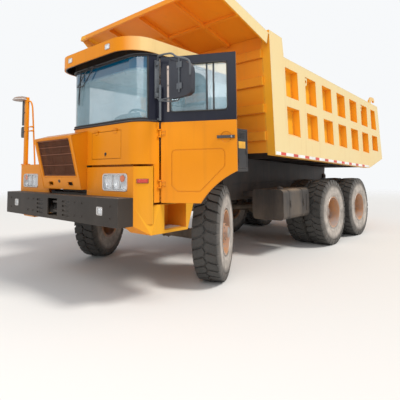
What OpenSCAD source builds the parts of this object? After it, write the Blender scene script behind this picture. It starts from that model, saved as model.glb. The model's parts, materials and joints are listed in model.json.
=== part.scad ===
// Wide-body mining dump truck with a side cab, 6x4, on 14.00-25 tyres.
// X points forward, Y to the left, Z up. The origin is on the ground, midway between the front kingpins.

/* [Wheels] */
// Outside diameter of a tyre, over its lugs
tyre_d = 1370; // [1300:5:1400]
// Width of a tyre
tyre_w = 375; // [340:5:390]
// Lugs in each of the tread's two rows
lugs = 30; // [24:1:32]
// Height of the lugs
lug_h = 24; // [16:1:30]
// Rim bore where the tyre seats
rim_d = 635; // [600:5:650]
// Distance between the front kingpins
kingpin_track = 2432; // [2380:4:2480]
// Offset of a front wheel's middle from its kingpin
kingpin_offset = 131; // [110:1:150]
// How far the front wheels are steered to the left, as parked
steer_rest = 26.5; // [0:0.5:30]

/* [Axles] */
// Place of the middle axle
mid_axle_x = -3675; // [-3800:5:-3600]
// Place of the rear axle
rear_axle_x = -5265; // [-5350:5:-5200]
// Middle of an outer twin tyre
twin_outer_y = 1510; // [1490:5:1530]
// Distance between the middles of twin tyres
twin_pitch = 430; // [410:5:450]

/* [Chassis] */
// Top of the frame rails
rail_top_z = 1320; // [1300:5:1340]
// Height of the frame rails
rail_h = 320; // [280:5:340]
// Outer face of the frame rails
rail_y = 475; // [460:5:490]
// Flange width of the frame rails
rail_flange = 90; // [70:5:110]
// Front end of the rails
rail_front_x = 1550; // [1500:10:1560]
// Rear end of the rails
rail_rear_x = -6140; // [-6180:10:-6130]
// Place of the tipping hinge along the frame
tip_x = -6050; // [-6070:5:-6030]
// Height of the tipping hinge
tip_z = 1400; // [1395:5:1410]

/* [Front end] */
// Front face of the bumper
bumper_x = 1790; // [1770:5:1810]
// Top of the bumper
bumper_top_z = 1280; // [1260:5:1290]
// Height of the bumper
bumper_h = 325; // [300:5:350]
// Half the width of the bumper and of the lamp panels
bumper_y = 1450; // [1430:5:1470]
// Front face of the cab and of the lamp panels
nose_x = 1575; // [1565:5:1585]
// Half the width of the hood
hood_y = 500; // [480:5:520]
// Top of the hood's leaning front
hood_tip_x = 1825; // [1810:5:1840]
// Foot of the hood's leaning front
hood_foot_x = 1652; // [1640:4:1660]
// Height of the hood's foot
hood_foot_z = 1347; // [1330:1:1360]
// Height of the hood's front edge
hood_tip_z = 2056; // [2040:4:2070]
// Height of the hood along the cab
hood_top_z = 2123; // [2110:1:2135]

/* [Cab] */
// Left side of the cab
cab_y = 1600; // [1590:5:1610]
// Back of the cab
cab_rear_x = -250; // [-280:10:-220]
// Radius of the cab's front corners
cab_r = 250; // [220:10:280]
// Wall thickness of the cab
cab_wall = 40; // [30:2:50]
// Underside of the cab's front panel
cab_low_z = 1665; // [1655:5:1675]
// Floor of the footwell, underneath
footwell_z = 1216; // [1206:2:1226]
// Belt line, where the orange ends and the black window frame starts
belt_z = 2161; // [2140:1:2180]
// Top of the black window frame
header_z = 2985; // [2975:5:2995]
// Top of the roof visor
visor_top_z = 3150; // [3130:5:3170]
// Front edge of the roof visor
visor_x = 1755; // [1735:5:1775]

/* [Door] */
// Hinge line of the door
door_hinge_x = 1300; // [1290:5:1310]
// Length of the door
door_len = 907; // [890:1:920]
// Thickness of the door
door_t = 45; // [35:1:50]
// Underside of the door
door_low_z = 1210; // [1206:1:1216]
// Top of the door
door_top_z = 2950; // [2940:5:2960]
// How far the door stands open, as parked
door_rest = 62; // [0:1:66]

/* [Dump body] */
// Half the width of the dump body, over its posts
body_y = 1683; // [1670:1:1695]
// How far posts and rails stand out from the side plate
post_depth = 130; // [110:5:150]
// Lowest front corner of the side, along the truck
body_front_x = -1286; // [-1296:2:-1266]
// Lowest front corner of the side, above the ground
body_front_z = 1836; // [1816:2:1856]
// Slope of the body floor, falling to the rear
body_tilt = 2.6; // [2.2:0.1:3]
// Height of the side
side_h = 1775; // [1740:5:1800]
// Height of the front posts
post_h = 2120; // [2080:10:2160]
// Forward lean of the front wall and the posts
post_lean = 5.5; // [4:0.5:7]
// Length of the level floor
floor_len = 4926; // [4880:1:4960]
// Length of the rising tail
tail_len = 1200; // [1100:10:1300]
// Rise of the tail
tail_rise = 15; // [12:0.5:18]
// Number of panels in each row of the side
side_panels = 7; // [5:1:7]
// Distance from one panel to the next
panel_pitch = 799; // [780:1:820]
// Width of a panel
panel_w = 480; // [440:5:520]
// Forward reach of the cab guard
guard_len = 1560; // [1450:10:1600]
// Rise of the cab guard
guard_rise = 14; // [12:0.5:16]

/* [Hidden] */
$fn = 64;

ORANGE = [0.93, 0.52, 0.07];
BLACK = [0.10, 0.11, 0.13];
STEEL = [0.22, 0.22, 0.24];
RUBBER = [0.13, 0.12, 0.12];
GLASS = [0.60, 0.78, 0.82, 0.4];
LAMP = [0.92, 0.92, 0.90];
GREY = [0.30, 0.30, 0.32];
CREAM = [0.80, 0.66, 0.45];
SHEET = 15;          // folded sheet of bumper, fenders and hood
GAP = 8;             // shut line round the door
RUN = 0.06;          // radial clearance of a pin in its bore
SEAT = 0.3;          // clearance between pieces that rest on each other
EPS = 1;             // how far a cutter runs past a face

wheel_r = tyre_d / 2;
axle_z = wheel_r;
kingpin_y = kingpin_track / 2;
rail_low_z = rail_top_z - rail_h;
bumper_low_z = bumper_top_z - bumper_h;
mask_top_z = cab_low_z - 25;
deck_z = cab_low_z + 40;

// A box from its lowest to its highest corner
module box(a, b) {
    translate(a) cube([b[0] - a[0], b[1] - a[1], b[2] - a[2]]);
}
// A round bar along Y
module bar_y(x, z, r, y0, y1) {
    translate([x, y1, z]) rotate([90, 0, 0]) cylinder(r = r, h = y1 - y0);
}
// A round bar along X
module bar_x(y, z, r, x0, x1) {
    translate([x0, y, z]) rotate([0, 90, 0]) cylinder(r = r, h = x1 - x0);
}
// A side view, drawn in X and Z, from y0 to y1
module side_view(y0, y1) {
    translate([0, y1, 0]) rotate([90, 0, 0]) linear_extrude(y1 - y0) children();
}
module both_sides() {
    children();
    mirror([0, 1, 0]) children();
}
// A plan with two round front corners
module round_front(x0, x1, y0, y1, r) {
    translate([x0, y0]) square([x1 - r - x0, y1 - y0]);
    translate([x1 - r - EPS, y0 + r]) square([r + EPS, y1 - y0 - 2 * r]);
    for (y = [y0 + r, y1 - r]) translate([x1 - r, y]) circle(r = r);
}

// Frame

tail_beam_y = 545;
tow_plate_y = 240;
tow_plate_z = rail_low_z + rail_h / 2;
tow_hole_r = 9;
tow_hole_dy = 300;
tow_hole_dz = 120;
tow_pin_r = 27;
tow_jaw_z = [1040, 1165];     // lower and upper jaw plates, undersides
tow_jaw_t = 30;
tow_jaw_x = bumper_x - 60;
hoist_foot = [-700, 1110];    // X and Z of the hoist's lower pin
hoist_pin_r = 30;
tip_pin_r = 40;
ear_t = 32;
beam_w = 120;                 // width of the dump body's long beams
beam_y = rail_y - rail_flange / 2;
trunnion_x = (mid_axle_x + rear_axle_x) / 2;
trunnion_z = 800;
trunnion_r = 65;

web = 14;                     // thickness of the rails' channel
tail_beam_x = tip_x + 90;     // front of the tail beam, where the rails end
module rail() {
    box([tail_beam_x + SEAT, rail_y - web, rail_low_z], [rail_front_x, rail_y, rail_top_z]);
    for (z = [rail_low_z, rail_top_z - web])
        box([tail_beam_x + SEAT, rail_y - rail_flange, z], [rail_front_x, rail_y, z + web]);
}
// Feet of the engine, the radiator and the bumper's horns share the rails' middle line
horn_z = [1100, 1200];
torque_y = rail_y + 30;       // torque rods, in line with the trunnion bracket
torque_z = axle_z - 120;
torque_half = 45;             // half the width of the bracket's tongue
// A member between the rails' webs
module cross_member(x, z0, z1, w) {
    box([x - w / 2, -rail_y + web + SEAT, z0], [x + w / 2, rail_y - web - SEAT, z1]);
}
// Ears that carry the tipping pin, on the tail beam
module tip_ears() {
    for (y = [beam_y - beam_w / 2 - 5 - ear_t, beam_y + beam_w / 2 + 5])
        side_view(y, y + ear_t) {
            translate([tip_x, tip_z]) circle(r = 70);
            translate([tip_x - 70, rail_top_z - 20]) square([140, tip_z - rail_top_z + 20]);
        }
}
module frame() {
    color(BLACK) both_sides() {
        rail();
        // bracket that carries the bogie's trunnion
        side_view(rail_y - EPS, rail_y + 60) difference() {
            polygon([[trunnion_x - 210, rail_top_z - 40], [trunnion_x + 210, rail_top_z - 40],
                [trunnion_x + 120, trunnion_z - 80], [trunnion_x + torque_half, torque_z + 40],
                [trunnion_x + torque_half, torque_z - 40], [trunnion_x - torque_half, torque_z - 40],
                [trunnion_x - torque_half, torque_z + 40], [trunnion_x - 120, trunnion_z - 80]]);
            translate([trunnion_x, trunnion_z]) circle(r = trunnion_r + RUN);
        }
        // horn that carries the bumper, let into the rail along its web
        box([rail_front_x - 20, rail_y - web, horn_z[0]], [bumper_x - SHEET - SEAT, rail_y, horn_z[1]]);
        box([rail_front_x + SEAT, rail_y - rail_flange, horn_z[0]], [bumper_x - SHEET - SEAT, rail_y, horn_z[1]]);
    }
}
module cross_members() {
    flange_z = rail_low_z + web + SEAT;
    color(BLACK) {
        // place, foot, top, width
        for (c = [[rail_front_x - 60, flange_z, rail_top_z - 20, 120],
            [-1700, rail_low_z + 90, rail_top_z - 20, 110], [-2700, rail_low_z + 90, rail_top_z - 20, 110],
            [trunnion_x, rail_low_z + 60, rail_top_z - 20, 200]])
            cross_member(c[0], c[1], c[2], c[3]);
        // hoist foot: a plate on the lower flanges and two ears, which hold the lower pin
        cross_member(hoist_foot[0], flange_z, rail_low_z + 40, 200);
        for (y = [-1, 1]) side_view(min(y * 140, y * 165), max(y * 140, y * 165)) {
            translate(hoist_foot) circle(r = 60);
            translate([hoist_foot[0] - 60, hoist_foot[1] - 80]) square([120, 80]);
        }
        bar_y(hoist_foot[0], hoist_foot[1], hoist_pin_r, -165, 165);
    }
}
// Tail beam, open from below, with the tipping pin and the holes for a tow coupling
module tail_beam() {
    color(BLACK) difference() {
        union() {
            box([rail_rear_x, -tail_beam_y, rail_top_z - 130], [tail_beam_x, tail_beam_y, rail_top_z]);
            box([rail_rear_x, -rail_y, rail_low_z], [tail_beam_x, rail_y, rail_top_z]);
            both_sides() tip_ears();
            bar_y(tip_x, tip_z, tip_pin_r, -tail_beam_y, tail_beam_y);
        }
        box([rail_rear_x + 30, -rail_y + 30, rail_low_z - EPS], [tail_beam_x - 20, rail_y - 30, rail_top_z - 60]);
        for (y = [-1, 1], z = [-1, 1])
            bar_x(y * tow_hole_dy / 2, tow_plate_z + z * tow_hole_dz / 2, tow_hole_r,
                rail_rear_x - EPS, rail_rear_x + 30 + EPS);
    }
}
// Two plates on the front cross member, with a spacer between them
module tow_jaw() {
    color(BLACK) {
        for (z = tow_jaw_z) difference() {
            box([rail_front_x + SEAT, -90, z], [tow_jaw_x, 90, z + tow_jaw_t]);
            translate([tow_jaw_x - 60, 0, z - EPS]) cylinder(r = tow_pin_r, h = tow_jaw_t + 2 * EPS);
        }
        box([rail_front_x + SEAT, -90, tow_jaw_z[0] + tow_jaw_t + SEAT], [rail_front_x + 25, 90, tow_jaw_z[1] - SEAT]);
    }
}
// Trestles under the back of the cab and under its floor
cab_beam_z = 1560;
module cab_beams() {
    color(BLACK) {
        for (x = [-200, 1180], y = [-1, 1])
            box([x - 40, y * beam_y - 45, rail_top_z + SEAT], [x + 40, y * beam_y + 45, cab_beam_z]);
        box([-240, -1580, cab_beam_z], [-160, 1580, cab_low_z - SEAT]);
        box([1140, -beam_y - 45, cab_beam_z], [1220, beam_y + 45, cab_low_z - SEAT]);
    }
}

// Front end

lamp_y = 1100;
headlamp = [480, 205];        // width and height
headlamp_z = 1452;
fog = [110, 90];
fog_z = 1125;
jaw_gate = [130, 1000, 1230]; // half width, foot and top of the bumper's middle opening
hood_slot = [260, 1425, 115, 48];

module bumper() {
    color(GREY) difference() {
        box([nose_x, -bumper_y, bumper_low_z], [bumper_x, bumper_y, bumper_top_z]);
        box([nose_x - EPS, -bumper_y + SHEET, bumper_low_z - EPS],
            [bumper_x - SHEET, bumper_y - SHEET, bumper_top_z - SHEET]);
        box([bumper_x - 2 * SHEET, -jaw_gate[0], jaw_gate[1]], [bumper_x + EPS, jaw_gate[0], jaw_gate[2]]);
        // cooling slots on both sides of the middle opening
        for (s = [-1, 1], i = [0:3])
            translate([bumper_x - 2 * SHEET, s * 350 - 90, 1010 + i * 58]) cube([3 * SHEET, 180, 26]);
        for (s = [-1, 1])
            translate([bumper_x - 2 * SHEET, s * lamp_y - fog[0] / 2, fog_z - fog[1] / 2])
                cube([3 * SHEET, fog[0], fog[1]]);
    }
}

// Height of the hood's front plane at a place along it, and the reverse
function hood_front_x(z) = hood_foot_x + (hood_tip_x - hood_foot_x) * (z - hood_foot_z) / (hood_tip_z - hood_foot_z);
hood_side = [[nose_x, hood_foot_z], [hood_foot_x, hood_foot_z], [hood_tip_x, hood_tip_z],
    [nose_x, hood_top_z]];
grille_z = [1530, 2020];
grille_y = 430;

module hood_window(y0, y1, z0, z1, deep) {
    side_view(y0, y1) polygon([[hood_front_x(z0) - deep, z0], [hood_front_x(z0) + EPS, z0],
        [hood_front_x(z1) + EPS, z1], [hood_front_x(z1) - deep, z1]]);
}
module hood() {
    color(ORANGE) difference() {
        union() {
            side_view(-hood_y, hood_y) polygon(hood_side);
            // the hood goes on beside the cab
            box([cab_rear_x, -hood_y, deck_z], [nose_x + EPS, -GAP, hood_top_z]);
        }
        side_view(-hood_y + SHEET, hood_y - SHEET) polygon([[nose_x - EPS, hood_foot_z - EPS],
            [hood_foot_x - SHEET, hood_foot_z - EPS], [hood_tip_x - SHEET * 1.2, hood_tip_z - SHEET],
            [nose_x - EPS, hood_top_z - SHEET]]);
        box([cab_rear_x + SHEET, -hood_y + SHEET, deck_z - EPS], [nose_x + EPS, -GAP - SHEET, hood_top_z - SHEET]);
        hood_window(-grille_y, grille_y, grille_z[0], grille_z[1], 3 * SHEET);
        for (s = [-1, 1])
            hood_window(s * hood_slot[0] - hood_slot[2] / 2, s * hood_slot[0] + hood_slot[2] / 2,
                hood_slot[1] - hood_slot[3] / 2, hood_slot[1] + hood_slot[3] / 2, 3 * SHEET);
    }
}
module grille() {
    slats = 10;
    step = (grille_z[1] - grille_z[0]) / slats;
    color([0.42, 0.16, 0.10]) {
        for (i = [0:slats - 1])
            hood_bar(-grille_y + SEAT, grille_y - SEAT, grille_z[0] + (i + 0.25) * step,
                grille_z[0] + (i + 0.75) * step, 10, 18);
        for (y = [-grille_y / 3, grille_y / 3, -grille_y + 10, grille_y - 10])
            hood_bar(y - 9.5, y + 9.5, grille_z[0] + SEAT, grille_z[1] - SEAT, 14, 28);
    }
}
// A bar that lies behind the hood's front plane, between two depths
module hood_bar(y0, y1, z0, z1, near, far) {
    side_view(y0, y1) polygon([[hood_front_x(z0) - far, z0], [hood_front_x(z0) - near, z0],
        [hood_front_x(z1) - near, z1], [hood_front_x(z1) - far, z1]]);
}

// Plan of the lamp panel and its cut corner, as a folded sheet
corner_x = 1420;
function fold_plan(t) = [[nose_x - t, hood_y + SEAT], [nose_x, hood_y + SEAT], [nose_x, bumper_y],
    [corner_x, cab_y], [corner_x - 1.45 * t, cab_y], [nose_x - t, bumper_y - 0.45 * t]];
step_x = [816, 1435];         // foot of the step box
step_top_x = [695, 1290];     // top of the step box
step_low_z = 850;
step_top_z = 1190;
step_in_y = 1235;
step_hole_x = [847, 1222];
step_hole_z = [885, 1185];

module lamp_panel(top_z) {
    difference() {
        translate([0, 0, bumper_low_z + 20]) linear_extrude(top_z - bumper_low_z - 20) polygon(fold_plan(SHEET));
        translate([nose_x - 2 * SHEET, lamp_y - headlamp[0] / 2, headlamp_z - headlamp[1] / 2])
            cube([3 * SHEET, headlamp[0], headlamp[1]]);
    }
}
module step_box() {
    difference() {
        hull() {
            translate([0, 0, step_top_z - 1]) linear_extrude(1) polygon([[step_top_x[0], step_in_y],
                [step_top_x[0], cab_y], [step_top_x[1], cab_y], [nose_x, bumper_y], [nose_x, step_in_y]]);
            box([step_x[0], step_in_y, step_low_z], [step_x[1], cab_y, step_low_z + 1]);
            box([nose_x - 20, step_in_y, bumper_low_z], [nose_x, bumper_y, bumper_low_z + 1]);
        }
        box([step_hole_x[0], step_in_y + 40, step_hole_z[0]], [step_hole_x[1], cab_y + EPS, step_hole_z[1]]);
    }
}
// Bracket from the rail to the step box
module step_bracket() {
    box([1300, rail_y, rail_low_z + 40], [1360, step_in_y, rail_low_z + 140]);
}
module fender_left() {
    color(ORANGE) {
        lamp_panel(mask_top_z);
        step_box();
        step_bracket();
    }
}
module fender_right() {
    color(ORANGE) mirror([0, 1, 0]) {
        lamp_panel(deck_z);
        step_box();
        step_bracket();
        box([cab_rear_x, hood_y + SEAT, deck_z - 30], [corner_x, cab_y, deck_z]);
        box([corner_x - EPS, hood_y + SEAT, deck_z - 30], [nose_x, bumper_y, deck_z]);
        // side sheet, cut round the wheel
        difference() {
            side_view(cab_y - SHEET, cab_y) polygon([[corner_x - 20, step_top_z], [corner_x - 20, deck_z],
                [cab_rear_x, deck_z], [cab_rear_x, 1590], [660, 1400], [700, step_top_z]]);
            bar_y(0, axle_z, arch_r, cab_y - 2 * SHEET, cab_y + EPS);
        }
    }
}
module headlamps() {
    color(LAMP) both_sides() difference() {
        translate([nose_x - 60, lamp_y - headlamp[0] / 2 + SEAT, headlamp_z - headlamp[1] / 2 + SEAT])
            cube([60, headlamp[0] - 2 * SEAT, headlamp[1] - 2 * SEAT]);
        translate([nose_x - 12, lamp_y - headlamp[0] / 2 + 20, headlamp_z - headlamp[1] / 2 + 20])
            cube([20, headlamp[0] - 40, headlamp[1] - 40]);
    }
}
visor_lamp_y = [360, 1190];
visor_lamp = [90, 65];
marker = [130, 40];
module lamps() {
    color(LAMP) {
        both_sides() {
            translate([bumper_x - 50, lamp_y - fog[0] / 2 + SEAT, fog_z - fog[1] / 2 + SEAT])
                cube([50, fog[0] - 2 * SEAT, fog[1] - 2 * SEAT]);
            // side marker on the cut corner
            translate([(nose_x + corner_x) / 2, (bumper_y + cab_y) / 2, 1470])
                rotate([0, 0, atan2(nose_x - corner_x, cab_y - bumper_y)])
                translate([SEAT, -marker[0] / 2, -marker[1] / 2]) cube([14, marker[0], marker[1]]);
        }
        for (y = visor_lamp_y)
            translate([visor_x + SEAT, y - visor_lamp[0] / 2, (header_z + visor_top_z) / 2 - visor_lamp[1] / 2])
                cube([12, visor_lamp[0], visor_lamp[1]]);
    }
}

// Cab

arch_r = 975;                 // wheel arch, about the front wheel's middle
cab_in_y = GAP / 2;           // right side of the cab
strip_x = 1388;               // front of the narrow strip ahead of the door
foot_x = 1500;                // front of the footwell
foot_y = 490;                 // inner side of the footwell
foot_rear_x = 640;            // where the floor over the wheel drops to the footwell
flap_y = [612, 1224];
flap_z = [1738, 2085];
flap_t = 10;
flap_gap = 5;
flap_pin = [11, 12];          // pin of the flap, ahead of and above its upper edge
flap_pin_r = 5;
flap_hinge_y = [flap_y[0] + 110, flap_y[1] - 110];

module cab_plan(inset) {
    round_front(cab_rear_x + inset, nose_x - inset, cab_in_y + inset, cab_y - inset, cab_r - inset);
}
module cab_layer(inset, z0, z1) {
    translate([0, 0, z0]) linear_extrude(z1 - z0) cab_plan(inset);
}
module wheel_arch(r) {
    bar_y(0, axle_z, r, foot_y - 60, cab_y + 60);
}
// Door outline in side view, grown by g
module door_outline(g) {
    x1 = door_hinge_x - GAP / 2 + g;
    x0 = door_hinge_x - door_len - g;
    difference() {
        translate([x0, door_low_z - g]) square([x1 - x0, door_top_z - door_low_z + 2 * g]);
        translate([0, axle_z]) circle(r = arch_r - g);
    }
}
module cab_body() {
    color(ORANGE) difference() {
        union() {
            cab_layer(0, cab_low_z, belt_z);
            difference() {
                union() {
                    box([door_hinge_x - door_len - 60, foot_y, footwell_z], [foot_x, cab_y - cab_r, cab_low_z + EPS]);
                    box([door_hinge_x - door_len - 60, foot_y, footwell_z], [strip_x, cab_y, cab_low_z + EPS]);
                }
                wheel_arch(arch_r);
            }
            flap_ears();
            door_ears();
        }
        // inside
        cab_layer(cab_wall, cab_low_z + cab_wall, belt_z + EPS);
        difference() {
            box([foot_rear_x, foot_y + cab_wall, footwell_z + cab_wall],
                [foot_x - cab_wall, cab_y - cab_wall, cab_low_z + cab_wall + EPS]);
            wheel_arch(arch_r + cab_wall);
            box([strip_x - cab_wall, cab_y - cab_r - cab_wall, 0], [foot_x, cab_y, 3000]);
        }
        // door opening
        side_view(cab_y - door_t - GAP, cab_y + EPS) door_outline(GAP);
        side_view(cab_y - cab_wall - door_t, cab_y) offset_door_hole();
        // seat for the service flap
        box([nose_x - flap_t - 5, flap_y[0], flap_z[0]], [nose_x + EPS, flap_y[1], flap_z[1]]);
    }
}
// Ears with pins, for the flap's hinge and the door's hinges
module flap_ears() {
    for (y = flap_hinge_y) {
        for (s = [-45, 33]) side_view(y + s, y + s + 12) {
            translate([nose_x + flap_pin[0], flap_z[1] - flap_gap + flap_pin[1]]) circle(r = 9);
            translate([nose_x - EPS, flap_z[1] + 4]) square([flap_pin[0] + 1, 14]);
        }
        bar_y(nose_x + flap_pin[0], flap_z[1] - flap_gap + flap_pin[1], flap_pin_r, y - 45, y + 45);
    }
}
module door_ears() {
    for (z = hinge_zs) {
        for (dz = [-20, hinge_h + 4]) translate([0, 0, z + dz]) {
            translate([door_hinge_x, cab_y + hinge_out, 0]) cylinder(r = 11, h = 16);
            box([door_hinge_x, cab_y + 6, 0], [door_hinge_x + 40, cab_y + hinge_out + 10, 16]);
            box([door_hinge_x + 8, cab_y - EPS, 0], [door_hinge_x + 25, cab_y + 7, 16]);
        }
        translate([door_hinge_x, cab_y + hinge_out, z - 20]) cylinder(r = hinge_pin_r, h = hinge_h + 40);
    }
}
// The way in, inside the door's rebate
module offset_door_hole() {
    difference() {
        translate([door_hinge_x - door_len + 40, footwell_z + cab_wall])
            square([door_len - 80, door_top_z - 40 - footwell_z - cab_wall]);
        translate([0, axle_z]) circle(r = arch_r + cab_wall);
    }
}
glass_z = [2200, 2950];
side_win_z = [2260, 2850];
quarter_x = [-190, 320];
right_win_x = [-150, 1250];
rear_win_y = [250, 1350];
screen_x = 1440;              // where the windscreen starts, round both corners
glass_t = 8;
module cab_frame() {
    color(BLACK) difference() {
        cab_layer(0, belt_z, header_z);
        cab_layer(cab_wall, belt_z - EPS, header_z + EPS);
        box([screen_x, -EPS, glass_z[0]], [nose_x + EPS, cab_y + EPS, glass_z[1]]);
        side_view(cab_y - door_t - GAP, cab_y + EPS) door_outline(GAP);
        side_view(cab_y - cab_wall - door_t, cab_y) offset_door_hole();
        box([quarter_x[0], cab_y - 2 * cab_wall, side_win_z[0]], [quarter_x[1], cab_y + EPS, side_win_z[1]]);
        box([right_win_x[0], -EPS, side_win_z[0]], [right_win_x[1], 2 * cab_wall, side_win_z[1]]);
        box([cab_rear_x - EPS, rear_win_y[0], side_win_z[0]], [cab_rear_x + 2 * cab_wall, rear_win_y[1], side_win_z[1]]);
    }
}
module windscreen() {
    color(GLASS) intersection() {
        difference() {
            cab_layer(12, glass_z[0] + SEAT, glass_z[1] - SEAT);
            cab_layer(12 + glass_t, glass_z[0] - EPS, glass_z[1] + EPS);
        }
        box([screen_x + SEAT, -EPS, 0], [nose_x, cab_y + EPS, header_z]);
    }
}
module cab_windows() {
    z0 = side_win_z[0] + SEAT;
    z1 = side_win_z[1] - SEAT;
    color(GLASS) {
        box([quarter_x[0] + SEAT, cab_y - 20, z0], [quarter_x[1] - SEAT, cab_y - 20 + glass_t, z1]);
        box([right_win_x[0] + SEAT, cab_in_y + 12, z0], [right_win_x[1] - SEAT, cab_in_y + 12 + glass_t, z1]);
        box([cab_rear_x + 12, rear_win_y[0] + SEAT, z0], [cab_rear_x + 12 + glass_t, rear_win_y[1] - SEAT, z1]);
    }
}
visor_r = 350;
visor_side = 12;
module roof_plan(inset) {
    round_front(cab_rear_x - 30 + inset, visor_x - inset, cab_in_y - 60 + inset, cab_y + visor_side - inset,
        visor_r - inset);
}
module cab_roof() {
    color(ORANGE) difference() {
        union() {
            translate([0, 0, header_z]) linear_extrude(visor_top_z - header_z) roof_plan(0);
            translate([0, 0, visor_top_z]) linear_extrude(20) roof_plan(60);
        }
        // the visor and the eaves are hollow from below
        difference() {
            translate([0, 0, header_z - EPS]) linear_extrude(visor_top_z - header_z - 40) roof_plan(30);
            difference() {
                cab_layer(0, header_z - 2 * EPS, visor_top_z);
                cab_layer(cab_wall, header_z - 3 * EPS, visor_top_z + EPS);
            }
        }
    }
}

// Door, drawn shut and then swung open

door_win = [[door_hinge_x - 808, 2280], [door_hinge_x - 123, 2845]];
// Pressed outline on the door: its corners, measured back from the hinge line
hatch = [for (p = [[131, 1410], [133, 1830], [773, 1837], [770, 1633], [477, 1340], [203, 1339]])
    [door_hinge_x - p[0], p[1]]];
hatch_r = 55;
hatch_groove = [9, 4];        // width and depth of the pressed line
handle_x = [door_hinge_x - 884, door_hinge_x - 683];
handle_z = 1966;
handle_dish = [62, 7];        // radius and depth of the dish behind the handle
hinge_out = 14;               // hinge pins stand out from the side
hinge_r = 12;
hinge_pin_r = 6;
hinge_zs = [1400, 2000];
hinge_h = 60;

module swing_door() {
    translate([door_hinge_x, cab_y + hinge_out, 0]) rotate([0, 0, -door_rest])
        translate([-door_hinge_x, -cab_y - hinge_out, 0]) children();
}
function unit(v) = v / norm(v);
// Corners of a convex outline, drawn anticlockwise, moved in by d
function moved_in(p, d) = [for (i = [0:len(p) - 1])
    let (a = unit(p[i] - p[(i + len(p) - 1) % len(p)]), b = unit(p[(i + 1) % len(p)] - p[i]))
    p[i] + [-a[1] - b[1], a[0] + b[0]] * d / (1 + a * b)];
// The same kind of outline with round corners
function rounded(p, r) = [for (i = [0:len(p) - 1])
    let (a = unit(p[i] - p[(i + len(p) - 1) % len(p)]), b = unit(p[(i + 1) % len(p)] - p[i]),
        turn = acos(a * b), start = atan2(a[1], a[0]) - 90,
        middle = p[i] - a * r * tan(turn / 2) + [-a[1], a[0]] * r)
    for (k = [0:5]) middle + r * [cos(start + turn * k / 5), sin(start + turn * k / 5)]];
module door_panel() {
    color(ORANGE) swing_door() {
        difference() {
            intersection() {
                side_view(cab_y - door_t, cab_y) door_outline(0);
                box([0, 0, 0], [2000, 2000, belt_z]);
            }
            // pocket on the inner side, so that the door is a pressed shell
            side_view(cab_y - door_t - EPS, cab_y - 14) difference() {
                translate([door_hinge_x - door_len + 70, door_low_z + 70]) square([door_len - 150, belt_z - door_low_z - 140]);
                translate([0, axle_z]) circle(r = arch_r + 70);
            }
            side_view(cab_y - hatch_groove[1], cab_y + EPS) difference() {
                polygon(rounded(hatch, hatch_r));
                polygon(rounded(moved_in(hatch, hatch_groove[0]), hatch_r - hatch_groove[0]));
            }
            bar_y((handle_x[0] + handle_x[1]) / 2, handle_z, handle_dish[0], cab_y - handle_dish[1], cab_y + EPS);
        }
        for (z = hinge_zs) difference() {
            union() {
                translate([door_hinge_x, cab_y + hinge_out, z]) cylinder(r = hinge_r, h = hinge_h);
                box([door_hinge_x - 60, cab_y - 1, z], [door_hinge_x - 2, cab_y + 8, z + hinge_h]);
            }
            translate([door_hinge_x, cab_y + hinge_out, z - EPS]) cylinder(r = hinge_pin_r + RUN, h = hinge_h + 2 * EPS);
        }
    }
}
module door_handle() {
    color(BLACK) swing_door() {
        box([handle_x[0], cab_y + 16, handle_z - 16], [handle_x[1], cab_y + 30, handle_z + 16]);
        for (x = [handle_x[0], handle_x[1] - 24])
            box([x, cab_y + SEAT, handle_z - 16], [x + 24, cab_y + 17, handle_z + 16]);
        bar_y(handle_x[0] + 26, handle_z, 10, cab_y + 29, cab_y + 34);
    }
}
module door_frame() {
    color(BLACK) swing_door() {
        difference() {
            side_view(cab_y - door_t, cab_y) intersection() {
                door_outline(0);
                translate([0, belt_z]) square([2000, 1000]);
            }
            side_view(cab_y - door_t - EPS, cab_y + EPS) translate(door_win[0]) square(door_win[1] - door_win[0]);
        }
    }
}
module door_glass() {
    color(GLASS) swing_door() side_view(cab_y - 28, cab_y - 28 + glass_t)
        translate(door_win[0] + [SEAT, SEAT]) square(door_win[1] - door_win[0] - 2 * [SEAT, SEAT]);
}
module service_flap() {
    top = flap_z[1] - flap_gap;
    color(ORANGE) difference() {
        union() {
            box([nose_x - flap_t, flap_y[0] + flap_gap, flap_z[0] + flap_gap], [nose_x, flap_y[1] - flap_gap, top]);
            for (y = flap_hinge_y) {
                bar_y(nose_x + flap_pin[0], top + flap_pin[1], 9, y - 30, y + 30);
                box([nose_x - EPS, y - 30, top - 30], [nose_x + 6, y + 30, top - EPS]);
                box([nose_x + 2.5, y - 30, top - 30], [nose_x + 6, y + 30, top + flap_pin[1]]);
            }
        }
        for (y = flap_hinge_y)
            bar_y(nose_x + flap_pin[0], top + flap_pin[1], flap_pin_r + RUN, y - 31, y + 31);
    }
}

// Inside the cab

module dashboard() {
    color(BLACK) {
        intersection() {
            side_view(cab_wall + 60, cab_y - cab_wall - 60) polygon([[1230, 1900], [1200, 2180], [1330, 2240],
                [1480, 2190], [1520, 1900]]);
            cab_layer(cab_wall + 10, cab_low_z, header_z);
        }
        // steering column and wheel, for a driver on the left
        translate([1240, 1130, 2080]) rotate([0, -35, 0]) {
            translate([0, 0, -10]) cylinder(r = 32, h = 220);
            translate([0, 0, 200]) rotate_extrude() translate([215, 0]) circle(r = 15);
            translate([0, 0, 190]) cylinder(r = 60, h = 22);
            for (a = [0, 120, 240]) rotate([0, 0, a]) translate([0, -14, 194]) cube([212, 28, 12]);
        }
        // feet of the dashboard on the floor
        for (y = [700, 1200]) box([1300, y - 30, footwell_z + cab_wall], [1400, y + 30, 1910]);
    }
}
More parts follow.
